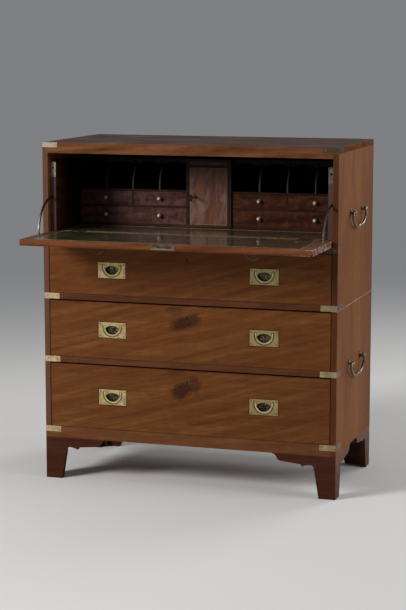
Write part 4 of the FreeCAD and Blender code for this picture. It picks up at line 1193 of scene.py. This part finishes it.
def green_plate(tree, colour):
    """The lock plate in the fall's edge, gone grey-green."""
    clouds = mottle(tree, spot(tree), 60.0, 4.0, 0.5)
    green = blended(tree, climb(tree, clouds, 0.38, 0.62), plate_green, plate_black)
    rubbed = span(tree, "Z", 0.009, 0.005, 0.7, fall_low.z)
    ahead = span(tree, "Y", 0.003, 0.002, base=fall_low.y)
    return blended(tree, ahead, colour, blended(tree, rubbed, green, plate_rubbed))


coat_with(pan_brass("fall_pan_brass", "Z", fall_low.z, green_plate), "fall_fittings")
# The stays and hinges painted dark: painted shade and dark reflection as well as tarnish.
stay_brass = aged_brass("stay_brass", (0.22, 0.19, 0.135), (0.10, 0.085, 0.055), (0.03, 0.026, 0.017), 0.7)
coat_with(stay_brass, "quadrant_stays", "fall_hinges")
# The fall's bails: the bail brass painted much darker, as shade under the open fall.
fall_bail_shaded = aged_brass(
    "fall_bail_shaded_brass", (0.15, 0.10, 0.06), (0.08, 0.052, 0.03), (0.03, 0.02, 0.012), 0.8, (0.3, 0.5),
    shaded_rims)
coat_with(fall_bail_shaded, "fall_left_bail", "fall_right_bail")
lock_plate_half, lock_screw_inset = 0.040, 0.006
lock_x = lock_plate_half - lock_screw_inset
lock_z = (fall_low.z + fall_high.z) / 2
lock_places = [((side * lock_x, fall_low.y, lock_z), FRONT) for side in (-1, 1)]
screws("lock_plate_screws", "fall", lock_places, small_screw_radius)

# Studio.
# A plain pale floor that fades into the grey of the room, three soft lamps, and a camera that sees
# the desk from its right and a little above.

STUDIO_GREY = (0.21, 0.215, 0.225, 1)
FLOOR_PALE = (0.74, 0.73, 0.71, 1)
floor_radius = 14.0
floor_facets = 96
haze_from, haze_full = 1.9, 5.5
floor_mesh = bmesh.new()
bmesh.ops.create_circle(floor_mesh, cap_ends=True, segments=floor_facets, radius=floor_radius)
floor_steady = {"Base Color": FLOOR_PALE, "Roughness": 0.9, "Specular IOR Level": 0.1}
pale, pale_tree, pale_shader = finish_named("pale_floor", floor_steady)
haze = put(pale_tree, "Emission", {"Color": STUDIO_GREY, "Strength": 1.0})
fade = climb(pale_tree, distance(pale_tree, spot(pale_tree)), haze_from, haze_full)
faded = put(pale_tree, "MixShader", {0: fade, 1: pale_shader.outputs[0], 2: haze})
pale_tree.links.new(faded, pale_tree.nodes["Material Output"].inputs["Surface"])
studio_floor = placed("studio_floor", settled("studio_floor", floor_mesh, pale))

chest_middle = Vector((0.0, 0.1, 0.6))
lamps = {
    "key_lamp": ((-3.2, -3.6, 2.75), 1.8, 234.0),
    "fill_lamp": ((4.4, -0.1, 2.2), 2.6, 76.0),
    "back_lamp": ((2.2, 3.4, 2.6), 2.4, 55.0),
}
for name, (place, size, power) in lamps.items():
    lamp_data = bpy.data.lights.new(name, "AREA")
    lamp_data.shape = "DISK"
    lamp_data.size = size
    lamp_data.energy = power
    lamp = placed(name, lamp_data)
    lamp.location = place
    lamp.rotation_euler = (chest_middle - Vector(place)).to_track_quat("-Z", "Y").to_euler()

world = bpy.data.worlds.new("studio_world")
scene.world = world
world.use_nodes = True
backdrop = world.node_tree.nodes["Background"].inputs
backdrop["Color"].default_value = STUDIO_GREY
backdrop["Strength"].default_value = 1.0

camera_place = (1.7469, -5.4555, 1.4713)
camera_aim = Vector((-0.2995, 0.9420, -0.1517))
camera_data = bpy.data.cameras.new("photo_camera")
camera_data.lens = 103.02
camera_data.sensor_width = 36.0
camera = placed("photo_camera", camera_data)
camera.location = camera_place
camera.rotation_euler = camera_aim.to_track_quat("-Z", "Y").to_euler()
scene.camera = camera
scene.view_settings.view_transform = "Standard"
